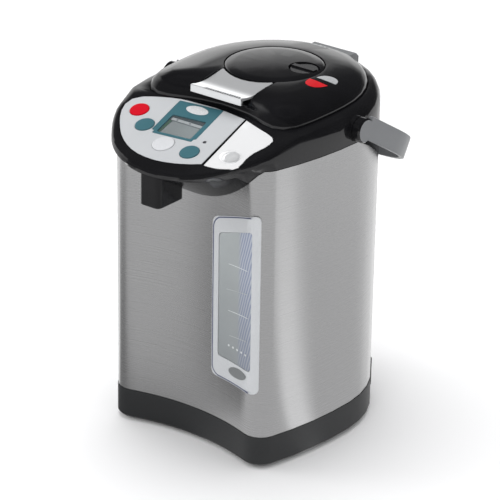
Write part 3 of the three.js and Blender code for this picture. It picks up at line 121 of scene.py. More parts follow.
def by_bearing(tree, point, steps):
    """A ramp of greys round the pot, by degrees from its front over its right side"""
    split = tree.nodes.new("ShaderNodeSeparateXYZ")
    tree.links.new(point, split.inputs["Vector"])
    angle = tree.nodes.new("ShaderNodeMath")
    angle.operation = "ARCTAN2"
    tree.links.new(split.outputs["X"], angle.inputs[0])
    tree.links.new(split.outputs["Y"], angle.inputs[1])
    share = tree.nodes.new("ShaderNodeMapRange")
    share.inputs["From Min"].default_value = -math.pi
    share.inputs["From Max"].default_value = math.pi
    tree.links.new(angle.outputs["Value"], share.inputs["Value"])
    ramp = grey_steps(tree, [((degrees + 180) / 360, tone) for degrees, tone in steps])
    tree.links.new(share.outputs["Result"], ramp.inputs["Fac"])
    return ramp, split


# The cards run out from a centre near the pot's front, and past their ends lies bare paper
cards_centre_x, cards_centre_y = 0.037, -0.047
cards_end, paper_start = 0.7, 0.82
white_card, grey_card, dark_gap = 1.3, 0.75, 0.3
card_steps = [
    (-180, white_card), (-88, white_card), (-76, dark_gap), (-50, dark_gap), (-35, grey_card),
    (95, grey_card), (102, white_card), (112, white_card), (120, grey_card), (150, grey_card),
    (180, white_card),
]
paper_nodes, paper_links = paper.node_tree.nodes, paper.node_tree.links
paper_place = paper_nodes.new("ShaderNodeTexCoord")
before_pot = paper_nodes.new("ShaderNodeMapping")
before_pot.inputs["Location"].default_value = (-cards_centre_x, cards_centre_y, 0)
before_pot.inputs["Scale"].default_value = (1, -1, 1)
paper_links.new(paper_place.outputs["Object"], before_pot.inputs["Vector"])
cards, _ = by_bearing(paper.node_tree, before_pot.outputs["Vector"], card_steps)
paper_ray = paper_nodes.new("ShaderNodeLightPath")
paper_in_metal = paper_nodes.new("ShaderNodeEmission")
reach = paper_nodes.new("ShaderNodeVectorMath")
reach.operation = "LENGTH"
paper_links.new(paper_place.outputs["Object"], reach.inputs[0])
past_cards = grey_steps(paper.node_tree, [(0, 0), (cards_end, 0), (paper_start, 1), (1, 1)])
paper_links.new(reach.outputs["Value"], past_cards.inputs["Fac"])
card_or_paper = paper_nodes.new("ShaderNodeMixRGB")
card_or_paper.inputs["Color2"].default_value = (*[paper_in_gloss] * 3, 1)
paper_links.new(past_cards.outputs["Color"], card_or_paper.inputs["Fac"])
paper_links.new(cards.outputs["Color"], card_or_paper.inputs["Color1"])
paper_links.new(card_or_paper.outputs["Color"], paper_in_metal.inputs["Color"])
paper_or_metal = paper_nodes.new("ShaderNodeMixShader")
paper_links.new(paper_ray.outputs["Is Glossy Ray"], paper_or_metal.inputs["Fac"])
paper_links.new(paper_shader.outputs["BSDF"], paper_or_metal.inputs[1])
paper_links.new(paper_in_metal.outputs["Emission"], paper_or_metal.inputs[2])
paper_links.new(paper_or_metal.outputs["Shader"], paper_nodes["Material Output"].inputs["Surface"])
sheet_mesh.materials.append(paper)
floor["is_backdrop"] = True

# The room is a plain pale grey that lights the pot. Metal and gloss see its walls: a broad white
# screen on the left rear and a narrow one on the right rear, dim between them and overhead.
room_grey = (0.8, 0.8, 0.81, 1)
sky = bpy.data.worlds.new("studio")
bpy.context.scene.world = sky
sky.use_nodes = True
sky_nodes = sky.node_tree.nodes
sky_links = sky.node_tree.links
room_light = sky_nodes["Background"]
room_light.inputs["Color"].default_value = room_grey
looking = sky_nodes.new("ShaderNodeTexCoord")
from_front = sky_nodes.new("ShaderNodeMapping")
from_front.inputs["Scale"].default_value = (1, -1, 1)
sky_links.new(looking.outputs["Generated"], from_front.inputs["Vector"])
white_screen, narrow_screen, dim_wall = 1.3, 0.8, 0.12
screen_steps = [
    (-180, dim_wall), (-150, white_screen), (-95, white_screen), (-60, dim_wall),
    (100, dim_wall), (108, narrow_screen), (118, narrow_screen), (126, dim_wall), (180, dim_wall),
]
screens, compass = by_bearing(sky.node_tree, from_front.outputs["Vector"], screen_steps)
# The screens end at a top edge that slopes down to the right and the rear, and over them comes
# the dim ceiling, by the sine of the height
screens_slope = (0.284, 0.29, 1.0)
top_edge = sky_nodes.new("ShaderNodeVectorMath")
top_edge.operation = "DOT_PRODUCT"
top_edge.inputs[1].default_value = screens_slope
sky_links.new(looking.outputs["Generated"], top_edge.inputs[0])
screen_share = grey_steps(sky.node_tree, [(0, 1), (0.31, 1), (0.45, 0.05), (0.55, 0), (1, 0)])
sky_links.new(top_edge.outputs["Value"], screen_share.inputs["Fac"])
ceiling = grey_steps(sky.node_tree, [(0, 0.05), (0.74, 0.05), (0.86, 0.1), (1, 0.04)])
sky_links.new(compass.outputs["Z"], ceiling.inputs["Fac"])
cut_off = sky_nodes.new("ShaderNodeMixRGB")
sky_links.new(screen_share.outputs["Color"], cut_off.inputs["Fac"])
sky_links.new(ceiling.outputs["Color"], cut_off.inputs["Color1"])
sky_links.new(screens.outputs["Color"], cut_off.inputs["Color2"])
seen_in_gloss = sky_nodes.new("ShaderNodeBackground")
sky_links.new(cut_off.outputs["Color"], seen_in_gloss.inputs["Color"])
ray = sky_nodes.new("ShaderNodeLightPath")
gloss_or_light = sky_nodes.new("ShaderNodeMixShader")
sky_links.new(ray.outputs["Is Glossy Ray"], gloss_or_light.inputs["Fac"])
sky_links.new(room_light.outputs["Background"], gloss_or_light.inputs[1])
sky_links.new(seen_in_gloss.outputs["Background"], gloss_or_light.inputs[2])
sky_links.new(gloss_or_light.outputs["Shader"], sky_nodes["World Output"].inputs["Surface"])

# Three soft lamps light the pot: a broad one over it, one on the left and one near the camera.
# Metal and gloss don't see them, only the cards and screens.
pot_middle = Vector((0, 0, 0.18))
# Each row gives a lamp's name, place, width and power in watts
lamp_rows = [
    ("lamp_over", (-0.3, 0.2, 2.2), 1.6, 22),
    ("lamp_left", (-2.0, -1.2, 1.2), 1.2, 12),
    ("lamp_front", (0.9, -2.2, 1.5), 1.2, 10),
]
for lamp_name, lamp_place, lamp_width, lamp_power in lamp_rows:
    lamp_data = bpy.data.lights.new(lamp_name, "AREA")
    lamp_data.shape = "DISK"
    lamp_data.size = lamp_width
    lamp_data.energy = lamp_power
    lamp = bpy.data.objects.new(lamp_name, lamp_data)
    lamp.location = lamp_place
    lamp.rotation_mode = "QUATERNION"
    lamp.rotation_quaternion = (pot_middle - lamp.location).to_track_quat("-Z", "Y")
    lamp.visible_glossy = False
    bpy.context.scene.collection.objects.link(lamp)

# Rubber feet, base screws and the bottom plate close the pot from below. The plate is a black
# moulding with the cord's inlet at its rear, and zinc screws hold it to the works above.
mm = 0.001
weld_gap = 0.002 * mm
flat_within = math.radians(0.4)
body_of = {n: body for body, members in frame["record"]["behaviour"]["bodies"].items()
           for n in members}


def carry(piece, *nodes):
    """Puts a finished piece on the body of CAD nodes and hides the nodes"""
    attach(piece, body_of[nodes[0]])
    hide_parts(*nodes)


def piece_from(form, name, finish, crease=35):
    """A finished piece from a bmesh, smooth across edges flatter than the crease"""
    for face in form.faces:
        face.smooth = True
    for edge in form.edges:
        edge.smooth = edge.calc_face_angle(math.pi) < math.radians(crease)
    mesh = bpy.data.meshes.new(name)
    form.to_mesh(mesh)
    form.free()
    mesh.materials.append(finish)
    piece = bpy.data.objects.new(name, mesh)
    bpy.context.scene.collection.objects.link(piece)
    return piece


def moulding(node, finish, crease=35, edge_round=0.0):
    """The welded copy of a CAD node, its sharp edges rounded where a radius in mm is given"""
    form = bmesh.new()
    form.from_mesh(frame["nodes"][node].data)
    bmesh.ops.remove_doubles(form, verts=form.verts, dist=weld_gap)
    if edge_round:
        bmesh.ops.dissolve_limit(
            form, angle_limit=flat_within, verts=form.verts, edges=form.edges)
        sharp = [e for e in form.edges if e.calc_face_angle(0) > math.radians(crease)]
        bmesh.ops.bevel(
            form, geom=sharp, offset=edge_round * mm, offset_type="OFFSET", affect="EDGES",
            segments=2, profile=0.5, material=-1, clamp_overlap=True)
    piece = piece_from(form, node + "_piece", finish, crease)
    if piece.data.has_custom_normals:
        piece.data.attributes.remove(piece.data.attributes["custom_normal"])
    if edge_round:
        even = piece.modifiers.new("even_shading", "WEIGHTED_NORMAL")
        even.keep_sharp = True
    carry(piece, node)
    return piece


def drifting_tone(nodes, colour, drift, start, end):
    """A ramp from a little darker than the colour to a little lighter"""
    tone = nodes.new("ShaderNodeValToRGB")
    darker, lighter = tone.color_ramp.elements
    darker.position, lighter.position = start, end
    darker.color = (*[c * (1 - drift) for c in colour], 1)
    lighter.color = (*[min(1, c * (1 + drift)) for c in colour], 1)
    return tone


def uneven_gloss(nodes, rough, spread, start, end):
    """Turns a noise into a roughness that spreads a little to both sides of the given one"""
    wear = nodes.new("ShaderNodeMapRange")
    wear.inputs["From Min"].default_value = start
    wear.inputs["From Max"].default_value = end
    wear.inputs["To Min"].default_value = rough * (1 - spread)
    wear.inputs["To Max"].default_value = rough * (1 + spread)
    return wear


def plastic(name, colour, rough, grain_per_m, relief, metal=0.0, drift=0.1, gloss=0.5):
    """Moulded plastic: its tone drifts a little and its skin has the grain of the mould"""
    finish = bpy.data.materials.new(name)
    finish.use_nodes = True
    nodes, links = finish.node_tree.nodes, finish.node_tree.links
    shader = nodes["Principled BSDF"]
    shader.inputs["Metallic"].default_value = metal
    shader.inputs["Specular IOR Level"].default_value = gloss
    place = nodes.new("ShaderNodeTexCoord")
    flow = nodes.new("ShaderNodeTexNoise")
    flow.inputs["Scale"].default_value = 22
    flow.inputs["Detail"].default_value = 3
    links.new(place.outputs["Object"], flow.inputs["Vector"])
    tone = drifting_tone(nodes, colour, drift, 0.3, 0.7)
    links.new(flow.outputs["Fac"], tone.inputs["Fac"])
    links.new(tone.outputs["Color"], shader.inputs["Base Color"])
    grain = nodes.new("ShaderNodeTexNoise")
    grain.inputs["Scale"].default_value = grain_per_m
    grain.inputs["Detail"].default_value = 2
    links.new(place.outputs["Object"], grain.inputs["Vector"])
    wear = uneven_gloss(nodes, rough, 0.15, 0.3, 0.7)
    links.new(grain.outputs["Fac"], wear.inputs["Value"])
    links.new(wear.outputs["Result"], shader.inputs["Roughness"])
    skin = nodes.new("ShaderNodeBump")
    skin.inputs["Strength"].default_value = relief
    skin.inputs["Distance"].default_value = 0.1 * mm
    links.new(grain.outputs["Fac"], skin.inputs["Height"])
    links.new(skin.outputs["Normal"], shader.inputs["Normal"])
    return finish


def metal_plate(name, colour, rough, lines_per_m, relief, drift=0.06):
    """Drawn or rolled metal: fine lines lie along the axis that has the fewest of them a metre"""
    finish = bpy.data.materials.new(name)
    finish.use_nodes = True
    nodes, links = finish.node_tree.nodes, finish.node_tree.links
    shader = nodes["Principled BSDF"]
    shader.inputs["Metallic"].default_value = 1.0
    place = nodes.new("ShaderNodeTexCoord")
    lie = nodes.new("ShaderNodeMapping")
    lie.inputs["Scale"].default_value = lines_per_m
    links.new(place.outputs["Object"], lie.inputs["Vector"])
    lines = nodes.new("ShaderNodeTexNoise")
    lines.inputs["Scale"].default_value = 1.0
    lines.inputs["Detail"].default_value = 4
    links.new(lie.outputs["Vector"], lines.inputs["Vector"])
    tone = drifting_tone(nodes, colour, drift, 0.35, 0.65)
    links.new(lines.outputs["Fac"], tone.inputs["Fac"])
    links.new(tone.outputs["Color"], shader.inputs["Base Color"])
    polish = uneven_gloss(nodes, rough, 0.12, 0.35, 0.65)
    links.new(lines.outputs["Fac"], polish.inputs["Value"])
    links.new(polish.outputs["Result"], shader.inputs["Roughness"])
    scratch = nodes.new("ShaderNodeBump")
    scratch.inputs["Strength"].default_value = relief
    scratch.inputs["Distance"].default_value = 0.02 * mm
    links.new(lines.outputs["Fac"], scratch.inputs["Height"])
    links.new(scratch.outputs["Normal"], shader.inputs["Normal"])
    return finish


foot_rubber = plastic("foot_rubber", (0.018, 0.018, 0.018), rough=0.8, grain_per_m=1600, relief=0.5)
zinc_screw = metal_plate(
    "zinc_screw", (0.62, 0.62, 0.6), rough=0.35, lines_per_m=(900, 900, 900), relief=0.1)
plate_black = plastic(
    "plate_black", (0.025, 0.025, 0.027), rough=0.55, grain_per_m=1400, relief=0.35)
# The foot's outline runs from its middle out and up, in shares of its radius and height
foot_outline = [
    (0, 0), (0.55, 0), (0.62, 0.12), (0.86, 0.12), (0.94, 0.2), (1.0, 0.45), (1.0, 1), (0, 1),
]
for foot in [n for n in frame["nodes"] if n.startswith("rubber_foot")]:
    low, high = [Vector(corner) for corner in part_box(foot)]
    centre = (low + high) / 2
    radius = (high.x - low.x) / 2
    deep = high.z - low.z
    form = bmesh.new()
    ring = [form.verts.new((centre.x + radius * out, centre.y, low.z + deep * up))
            for out, up in foot_outline]
    edges = [form.edges.new(pair) for pair in zip(ring, ring[1:])]
    bmesh.ops.spin(
        form, geom=ring + edges, cent=centre, axis=(0, 0, 1), angle=math.tau, steps=40,
        use_merge=True)
    bmesh.ops.remove_doubles(form, verts=form.verts, dist=weld_gap)
    bmesh.ops.recalc_face_normals(form, faces=form.faces)
    carry(piece_from(form, foot + "_piece", foot_rubber), foot)
for screw in [n for n in frame["nodes"] if n.startswith("base_screw")]:
    moulding(screw, zinc_screw, edge_round=0.15)
moulding("bottom_plate", plate_black)

# The base skirt is one black moulding round the foot of the pot, with the hollow of the front
# carried down through it. Screws from below pull it up to the steel shell.
skirt_black = plastic(
    "skirt_black", (0.019, 0.02, 0.0215), rough=0.5, grain_per_m=1500, relief=0.4,
    drift=0.06, gloss=0.4)
moulding("base_skirt", skirt_black, crease=40)

# The cord's inlet is a bought socket of black nylon that snaps into the rear of the base.
# The works on the plate are a pump with its motor, the supply board and the pot's cradle.
inlet_black = plastic("inlet_black", (0.02, 0.02, 0.021), rough=0.42, grain_per_m=1800, relief=0.3)
works_black = plastic("works_black", (0.03, 0.03, 0.032), rough=0.6, grain_per_m=1200, relief=0.4)
pump_nylon = plastic("pump_nylon", (0.62, 0.61, 0.57), rough=0.5, grain_per_m=1300, relief=0.3)
board_lacquer = plastic(
    "board_lacquer", (0.012, 0.11, 0.045), rough=0.35, grain_per_m=700, relief=0.25, drift=0.3)
motor_can = metal_plate(
    "motor_can", (0.58, 0.58, 0.57), rough=0.38, lines_per_m=(300, 300, 1500), relief=0.1)
moulding("power_inlet", inlet_black, edge_round=0.2)
moulding("pot_cradle", works_black)
moulding("pump_housing", pump_nylon, edge_round=0.3)
moulding("power_board", board_lacquer)
moulding("pump_motor", motor_can, edge_round=0.3)

# The inner pot is deep-drawn stainless steel with a rolled neck, heated by a plate and a band.
# The lines of the drawing die run round its wall.
pot_steel = metal_plate(
    "pot_steel", (0.6, 0.6, 0.59), rough=0.24, lines_per_m=(25, 25, 1600), relief=0.25)
heater_steel = metal_plate(
    "heater_steel", (0.5, 0.49, 0.47), rough=0.42, lines_per_m=(500, 500, 500), relief=0.15)
seal_silicone = plastic(
    "seal_silicone", (0.55, 0.54, 0.5), rough=0.55, grain_per_m=900, relief=0.2, gloss=0.4)
moulding("inner_pot", pot_steel)
moulding("heater_plate", heater_steel)
moulding("heater_band", heater_steel)
moulding("thermostat", heater_steel)
moulding("pot_seal", seal_silicone)
moulding("riser_tube", seal_silicone)

# The shell is one sheet of stainless steel, rolled to the housing's plan and brushed along the
# roll, so its fine lines lie level all round and draw each reflection out upright.
shell_steel = metal_plate(
    "shell_steel", (0.5, 0.5, 0.505), rough=0.25, lines_per_m=(9, 9, 5200), relief=0.1, drift=0.04)
steel_shader = shell_steel.node_tree.nodes["Principled BSDF"]
steel_shader.inputs["Anisotropic"].default_value = 1.0
steel_shader.inputs["Anisotropic Rotation"].default_value = 0.25
along_roll = shell_steel.node_tree.nodes.new("ShaderNodeTangent")
along_roll.direction_type = "RADIAL"
along_roll.axis = "Z"
shell_steel.node_tree.links.new(along_roll.outputs["Tangent"], steel_shader.inputs["Tangent"])
moulding("steel_shell", shell_steel, crease=40)

# The level window is a plate of clear plastic in a slim silver frame, let into the hollow of
# the shell. The plate is printed with level marks, and a glass tube stands behind it.
hollow_axis_y = -300.45 * mm
window_radius = 221.4 * mm
mark_proud = 0.12 * mm
frame_left, frame_right = 22.5 * mm, 84 * mm
frame_foot, frame_top_left, frame_top_right = 77 * mm, 236 * mm, 256 * mm


def on_window(form, proud):
    """Bends a flat form, drawn in x and z, onto the curved front of the window"""
    for vert in form.verts:
        reach = window_radius - proud - vert.co.y
        vert.co.y = hollow_axis_y + math.sqrt(reach ** 2 - vert.co.x ** 2)


def tint(finish, mask):
    """Mixes a second colour over the finish by the mask, and gives the socket for that colour"""
    nodes, links = finish.node_tree.nodes, finish.node_tree.links
    shader = nodes["Principled BSDF"]
    under = shader.inputs["Base Color"].links[0].from_socket
    mix = nodes.new("ShaderNodeMixRGB")
    links.new(mask.outputs["Result"], mix.inputs["Fac"])
    links.new(under, mix.inputs["Color1"])
    links.new(mix.outputs["Color"], shader.inputs["Base Color"])
    return mix.inputs["Color2"]


def thicken(form, thickness):
    """Gives flat faces their thickness and turns every face outwards"""
    bmesh.ops.solidify(form, geom=form.faces[:], thickness=thickness)
    bmesh.ops.recalc_face_normals(form, faces=form.faces)


frame_silver = plastic(
    "frame_silver", (0.56, 0.575, 0.59), rough=0.3, grain_per_m=2500, relief=0.02,
    metal=0.15, drift=0.015)
moulding("level_frame", frame_silver, edge_round=0.4)

# A dark blue line is printed on the frame just inside its edge, with rounded corners. It is open
# along the right edge.
line_blue = plastic("line_blue", (0.05, 0.06, 0.13), rough=0.35, grain_per_m=1200, relief=0.05)
line_inset, line_corner, line_broad = 0.7 * mm, 9.5 * mm, 1.1 * mm
line_open_from = frame_right - 8 * mm
line_proud = 0.6 * mm
longest_edge = 6 * mm
line_left, line_right = frame_left + line_inset, frame_right - line_inset
form = bmesh.new()
form.faces.new([form.verts.new((x, 0, z)) for x, z in (
    (line_left, frame_foot + line_inset), (line_right, frame_foot + line_inset),
    (line_right, frame_top_right - line_inset), (line_left, frame_top_left - line_inset))])
bmesh.ops.bevel(
    form, geom=form.verts[:], offset=line_corner, offset_type="OFFSET", affect="VERTICES",
    segments=8, profile=0.5, material=-1)
for _ in range(5):
    long_edges = [e for e in form.edges if e.calc_length() > longest_edge]
    bmesh.ops.subdivide_edges(form, edges=long_edges, cuts=1)
form.normal_update()
ring = bmesh.ops.inset_region(
    form, faces=form.faces[:], thickness=line_broad, use_boundary=True, use_even_offset=True)
bmesh.ops.delete(
    form, geom=[f for f in form.faces
                if f not in ring["faces"] or f.calc_center_median().x > line_open_from],
    context="FACES")
on_window(form, line_proud)
thicken(form, mark_proud)
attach(piece_from(form, "frame_line", line_blue), "housing")

# The window is painted as a real one looks with the tube behind it: plain grey on its left, and on
# its right painted refraction, the slanting blue streaks of the ribbed wall. It is also painted
# darker towards its foot, as painted shade
sight_grey = plastic(
    "sight_grey", (0.36, 0.385, 0.39), rough=0.12, grain_per_m=400, relief=0.01, drift=0.05)
refraction_start, refraction_full = 57 * mm, 62 * mm
painted_shade_start, painted_shade_full = 225 * mm, 100 * mm
sight_nodes, sight_links = sight_grey.node_tree.nodes, sight_grey.node_tree.links
sight_place = sight_nodes.new("ShaderNodeTexCoord")
sight_lie = sight_nodes.new("ShaderNodeMapping")
sight_lie.inputs["Rotation"].default_value = (0, math.radians(-17), 0)
sight_links.new(sight_place.outputs["Object"], sight_lie.inputs["Vector"])
# Painted refraction: slanting blue streaks of the ribbed wall seen through the window
painted_refraction = sight_nodes.new("ShaderNodeTexWave")
painted_refraction.bands_direction = "X"
painted_refraction.inputs["Scale"].default_value = 105
painted_refraction.inputs["Distortion"].default_value = 1.6
painted_refraction.inputs["Detail"].default_value = 2
painted_refraction.inputs["Detail Scale"].default_value = 0.6
sight_links.new(sight_lie.outputs["Vector"], painted_refraction.inputs["Vector"])
sight_split = sight_nodes.new("ShaderNodeSeparateXYZ")
sight_links.new(sight_place.outputs["Object"], sight_split.inputs["Vector"])
right_part = sight_nodes.new("ShaderNodeMapRange")
right_part.inputs["From Min"].default_value = refraction_start
right_part.inputs["From Max"].default_value = refraction_full
right_part.inputs["To Max"].default_value = 0.62
sight_links.new(sight_split.outputs["X"], right_part.inputs["Value"])
refraction_tone = sight_nodes.new("ShaderNodeValToRGB")
refraction_blue, refraction_pale = refraction_tone.color_ramp.elements
refraction_blue.position, refraction_pale.position = 0.3, 0.75
refraction_blue.color = (0.17, 0.21, 0.38, 1)
refraction_pale.color = (0.5, 0.53, 0.62, 1)
sight_links.new(painted_refraction.outputs["Fac"], refraction_tone.inputs["Fac"])
sight_links.new(refraction_tone.outputs["Color"], tint(sight_grey, right_part))
# Painted shade: the window is painted darker towards its foot
foot_shade_part = sight_nodes.new("ShaderNodeMapRange")
foot_shade_part.inputs["From Min"].default_value = painted_shade_start
foot_shade_part.inputs["From Max"].default_value = painted_shade_full
foot_shade_part.inputs["To Max"].default_value = 0.5
sight_links.new(sight_split.outputs["Z"], foot_shade_part.inputs["Value"])
tint(sight_grey, foot_shade_part).default_value = (0.13, 0.14, 0.15, 1)
moulding("level_window", sight_grey, edge_round=0.3)

# The level marks are printed in white ink: four lines, the second and fourth fainter, and a row
# of five dots
mark_white = plastic(
    "mark_white", (0.62, 0.64, 0.65), rough=0.4, grain_per_m=900, relief=0.05, drift=0.03)
mark_faint = plastic(
    "mark_faint", (0.4, 0.42, 0.43), rough=0.4, grain_per_m=900, relief=0.05, drift=0.03)
mark_thick = mark_proud / 2
line_width = 0.55 * mm
# Each row gives a line's left and right end, its height at each end, all in mm, and its ink
line_rows = [
    (43.8, 71.2, 195.7, 198.5, mark_white), (40.9, 70.9, 169.6, 175.3, mark_faint),
    (43.8, 72.4, 149.1, 152.3, mark_white), (45.9, 71.1, 124.4, 128.3, mark_faint),
]
upright = Matrix.Rotation(math.pi / 2, 3, "X")
for row, (left, right, left_height, right_height, ink) in enumerate(line_rows):
    form = bmesh.new()
    bmesh.ops.create_grid(form, x_segments=10, y_segments=1, size=0.5)
    bmesh.ops.rotate(form, verts=form.verts, cent=(0, 0, 0), matrix=upright)
    bmesh.ops.scale(form, vec=((right - left) * mm, 1, line_width), verts=form.verts)
    rise = math.atan2(right_height - left_height, right - left)
    bmesh.ops.rotate(
        form, verts=form.verts, cent=(0, 0, 0), matrix=Matrix.Rotation(-rise, 3, "Y"))
    middle = ((left + right) / 2 * mm, 0, (left_height + right_height) / 2 * mm)
    bmesh.ops.translate(form, vec=middle, verts=form.verts)
    on_window(form, mark_proud)
    thicken(form, mark_thick)
    line = piece_from(form, "level_line_%d" % (row + 1), ink)
    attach(line, "housing")
dot_radius = 1.1 * mm
dots_height = 114.2 * mm
form = bmesh.new()
for dot_x in (45.2, 51.3, 57.3, 63.4, 69.6):
    bmesh.ops.create_circle(
        form, cap_ends=True, segments=20, radius=dot_radius,
        matrix=Matrix.Translation((dot_x * mm, 0, dots_height)) @ upright.to_4x4())
on_window(form, mark_proud)
thicken(form, mark_thick)
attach(piece_from(form, "level_dots", mark_white), "housing")

# A blank oval plate is stuck on at the foot of the frame, a little turned
oval_grey = plastic(
    "oval_grey", (0.22, 0.23, 0.235), rough=0.35, grain_per_m=1200, relief=0.08,
    metal=0.3, drift=0.05)
oval_turn = math.radians(-8)
oval_place = (58.4 * mm, 0, 90.8 * mm)
oval_proud, oval_thick = 0.75 * mm, 0.3 * mm


def oval(half_long, half_short):
    """A flat oval with a rim round it, which keeps its outline crisp when it is bent"""
    form = bmesh.new()
    bmesh.ops.create_circle(form, cap_ends=True, segments=48, radius=1.0)
    form.normal_update()
    bmesh.ops.inset_region(
        form, faces=form.faces[:], thickness=0.12, use_boundary=True, use_even_offset=True)
    bmesh.ops.scale(form, vec=(half_long, half_short, 1), verts=form.verts)
    return form


form = oval(12.6 * mm, 5.3 * mm)
bmesh.ops.rotate(form, verts=form.verts, cent=(0, 0, 0), matrix=upright)
bmesh.ops.rotate(
    form, verts=form.verts, cent=(0, 0, 0), matrix=Matrix.Rotation(oval_turn, 3, "Y"))
bmesh.ops.translate(form, vec=oval_place, verts=form.verts)
on_window(form, oval_proud)
thicken(form, oval_thick)
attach(piece_from(form, "window_oval", oval_grey), "housing")

# The level tube is a straight glass tube behind the window, in which the water stands
tube_glass = plastic("tube_glass", (0.4, 0.45, 0.5), rough=0.12, grain_per_m=500, relief=0.02)
moulding("level_tube", tube_glass)

# The head is the big gloss black moulding that closes the shell: a ring round the lid, with the
# nose drawn out of it over the front. Its skin is polished, with only a trace of swirl.
head_gloss = plastic(
    "head_gloss", (0.007, 0.007, 0.008), rough=0.09, grain_per_m=260, relief=0.015, drift=0.2)
moulding("head_frame", head_gloss)

# The spout housing hangs under the nose as one dark satin moulding, with a silicone nozzle
# pushed up into it from below and an elbow that feeds it from the riser.
spout_satin = plastic(
    "spout_satin", (0.01, 0.01, 0.011), rough=0.2, grain_per_m=1200, relief=0.04,
    drift=0.08, gloss=0.18)
nozzle_silicone = plastic(
    "nozzle_silicone", (0.09, 0.09, 0.09), rough=0.5, grain_per_m=900, relief=0.2)
moulding("spout_housing", spout_satin)
moulding("spout_nozzle", nozzle_silicone)
moulding("outlet_elbow", seal_silicone)

# The control panel is a silver-painted plate on the nose's slope. A teal frame runs down its
# middle round a display window, and four push buttons with domed caps stand round it.
panel_slope = math.radians(17.004)
panel_rear_y, panel_rear_z = -48.453 * mm, 324.5 * mm
on_panel = Matrix.Translation((0, panel_rear_y, panel_rear_z)) @ Matrix.Rotation(
    panel_slope, 4, "X")
panel_silver = plastic(
    "panel_silver", (0.57, 0.585, 0.6), rough=0.34, grain_per_m=1500, relief=0.06,
    metal=0.25, drift=0.02)
panel_teal = plastic(
    "panel_teal", (0.038, 0.122, 0.148), rough=0.34, grain_per_m=1500, relief=0.06, drift=0.04)
button_red = plastic(
    "button_red", (0.5, 0.0, 0.01), rough=0.5, grain_per_m=1200, relief=0.08, drift=0.03, gloss=0.1)
button_silver = plastic(
    "button_silver", (0.66, 0.67, 0.69), rough=0.3, grain_per_m=1500, relief=0.06,
    metal=0.2, drift=0.02)
lamp_smoke = plastic("lamp_smoke", (0.06, 0.06, 0.065), rough=0.2, grain_per_m=900, relief=0.03)
moulding("control_panel", panel_silver, edge_round=0.25)
moulding("display_frame", panel_teal, edge_round=0.2)
moulding("control_board", board_lacquer)
moulding("lamp_lens", lamp_smoke, edge_round=0.25)
moulding("power_button", button_red, edge_round=0.3)
moulding("boil_button", panel_teal, edge_round=0.3)
moulding("keep_warm_button", button_silver, edge_round=0.3)
moulding("unlock_button", panel_teal, edge_round=0.3)

# A blank oval plate of bright silver is stuck on the teal frame behind the display
oval_silver = plastic(
    "oval_silver", (0.74, 0.75, 0.76), rough=0.25, grain_per_m=1200, relief=0.05,
    metal=0.3, drift=0.03)
panel_oval_place = (-14.5 * mm, -10.2 * mm, 0.32 * mm)
panel_oval_thick = 0.28 * mm
form = oval(12.1 * mm, 5.6 * mm)
bmesh.ops.translate(form, vec=panel_oval_place, verts=form.verts)
thicken(form, panel_oval_thick)
bmesh.ops.transform(form, matrix=on_panel, verts=form.verts)
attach(piece_from(form, "panel_oval", oval_silver), "housing")

# The display is a dark module with a grey glass. The glass has a bright bar with two dots along
# its rear, and light from the board glows green along its left.
display_dark = plastic(
    "display_dark", (0.03, 0.036, 0.045), rough=0.3, grain_per_m=900, relief=0.05)
display_bar = plastic(
    "display_bar", (0.42, 0.44, 0.45), rough=0.3, grain_per_m=900, relief=0.04, drift=0.04)
display_glass = plastic(
    "display_glass", (0.38, 0.41, 0.41), rough=0.16, grain_per_m=500, relief=0.02, drift=0.12)
display_glow = plastic(
    "display_glow", (0.03, 0.16, 0.05), rough=0.3, grain_per_m=700, relief=0.04, drift=0.3)
moulding("display_module", display_dark, edge_round=0.2)
# Each row gives a sheet's name, its left, right, rear and front edge and its thickness in mm, and
# its finish
display_rows = [
    ("display_glass_sheet", -27.5, 6.3, 30.5, 50.2, 0.25, display_glass),
    ("display_bright_bar", -30.6, 6.3, 26.2, 29.6, 0.35, display_bar),
    ("display_green_edge", -31.4, -28.4, 30.5, 50.2, 0.2, display_glow),
]
module_top = -1.8 * mm
sheet_edge = 0.08 * mm
for sheet_name, left, right, rear, front, thick, finish in display_rows:
    form = bmesh.new()
    bmesh.ops.create_cube(form, size=1.0)
    sheet_size = ((right - left) * mm, (front - rear) * mm, thick * mm)
    middle = ((left + right) / 2 * mm, -(rear + front) / 2 * mm, module_top + thick / 2 * mm)
    bmesh.ops.scale(form, vec=sheet_size, verts=form.verts)
    bmesh.ops.translate(form, vec=middle, verts=form.verts)
    bmesh.ops.bevel(
        form, geom=form.edges[:], offset=sheet_edge, offset_type="OFFSET", affect="EDGES",
        segments=2, profile=0.5, material=-1)
    bmesh.ops.transform(form, matrix=on_panel, verts=form.verts)
    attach(piece_from(form, sheet_name, finish), "housing")
bar_dot_radius = 0.9 * mm
bar_dots_y, bar_dots_z = -27.9 * mm, module_top + 0.4 * mm
bar_dot_thick = 0.05 * mm
form = bmesh.new()
for dot_x in (-24.0, -9.5):
    bmesh.ops.create_circle(
        form, cap_ends=True, segments=16, radius=bar_dot_radius,
        matrix=Matrix.Translation((dot_x * mm, bar_dots_y, bar_dots_z)))
thicken(form, bar_dot_thick)
bmesh.ops.transform(form, matrix=on_panel, verts=form.verts)
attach(piece_from(form, "display_dots", display_dark), "housing")
window_clear = plastic("window_clear", (0.16, 0.19, 0.2), rough=0.06, grain_per_m=500, relief=0.005)
window_shader = window_clear.node_tree.nodes["Principled BSDF"]
window_shader.inputs["Alpha"].default_value = 0.22
moulding("display_window", window_clear)

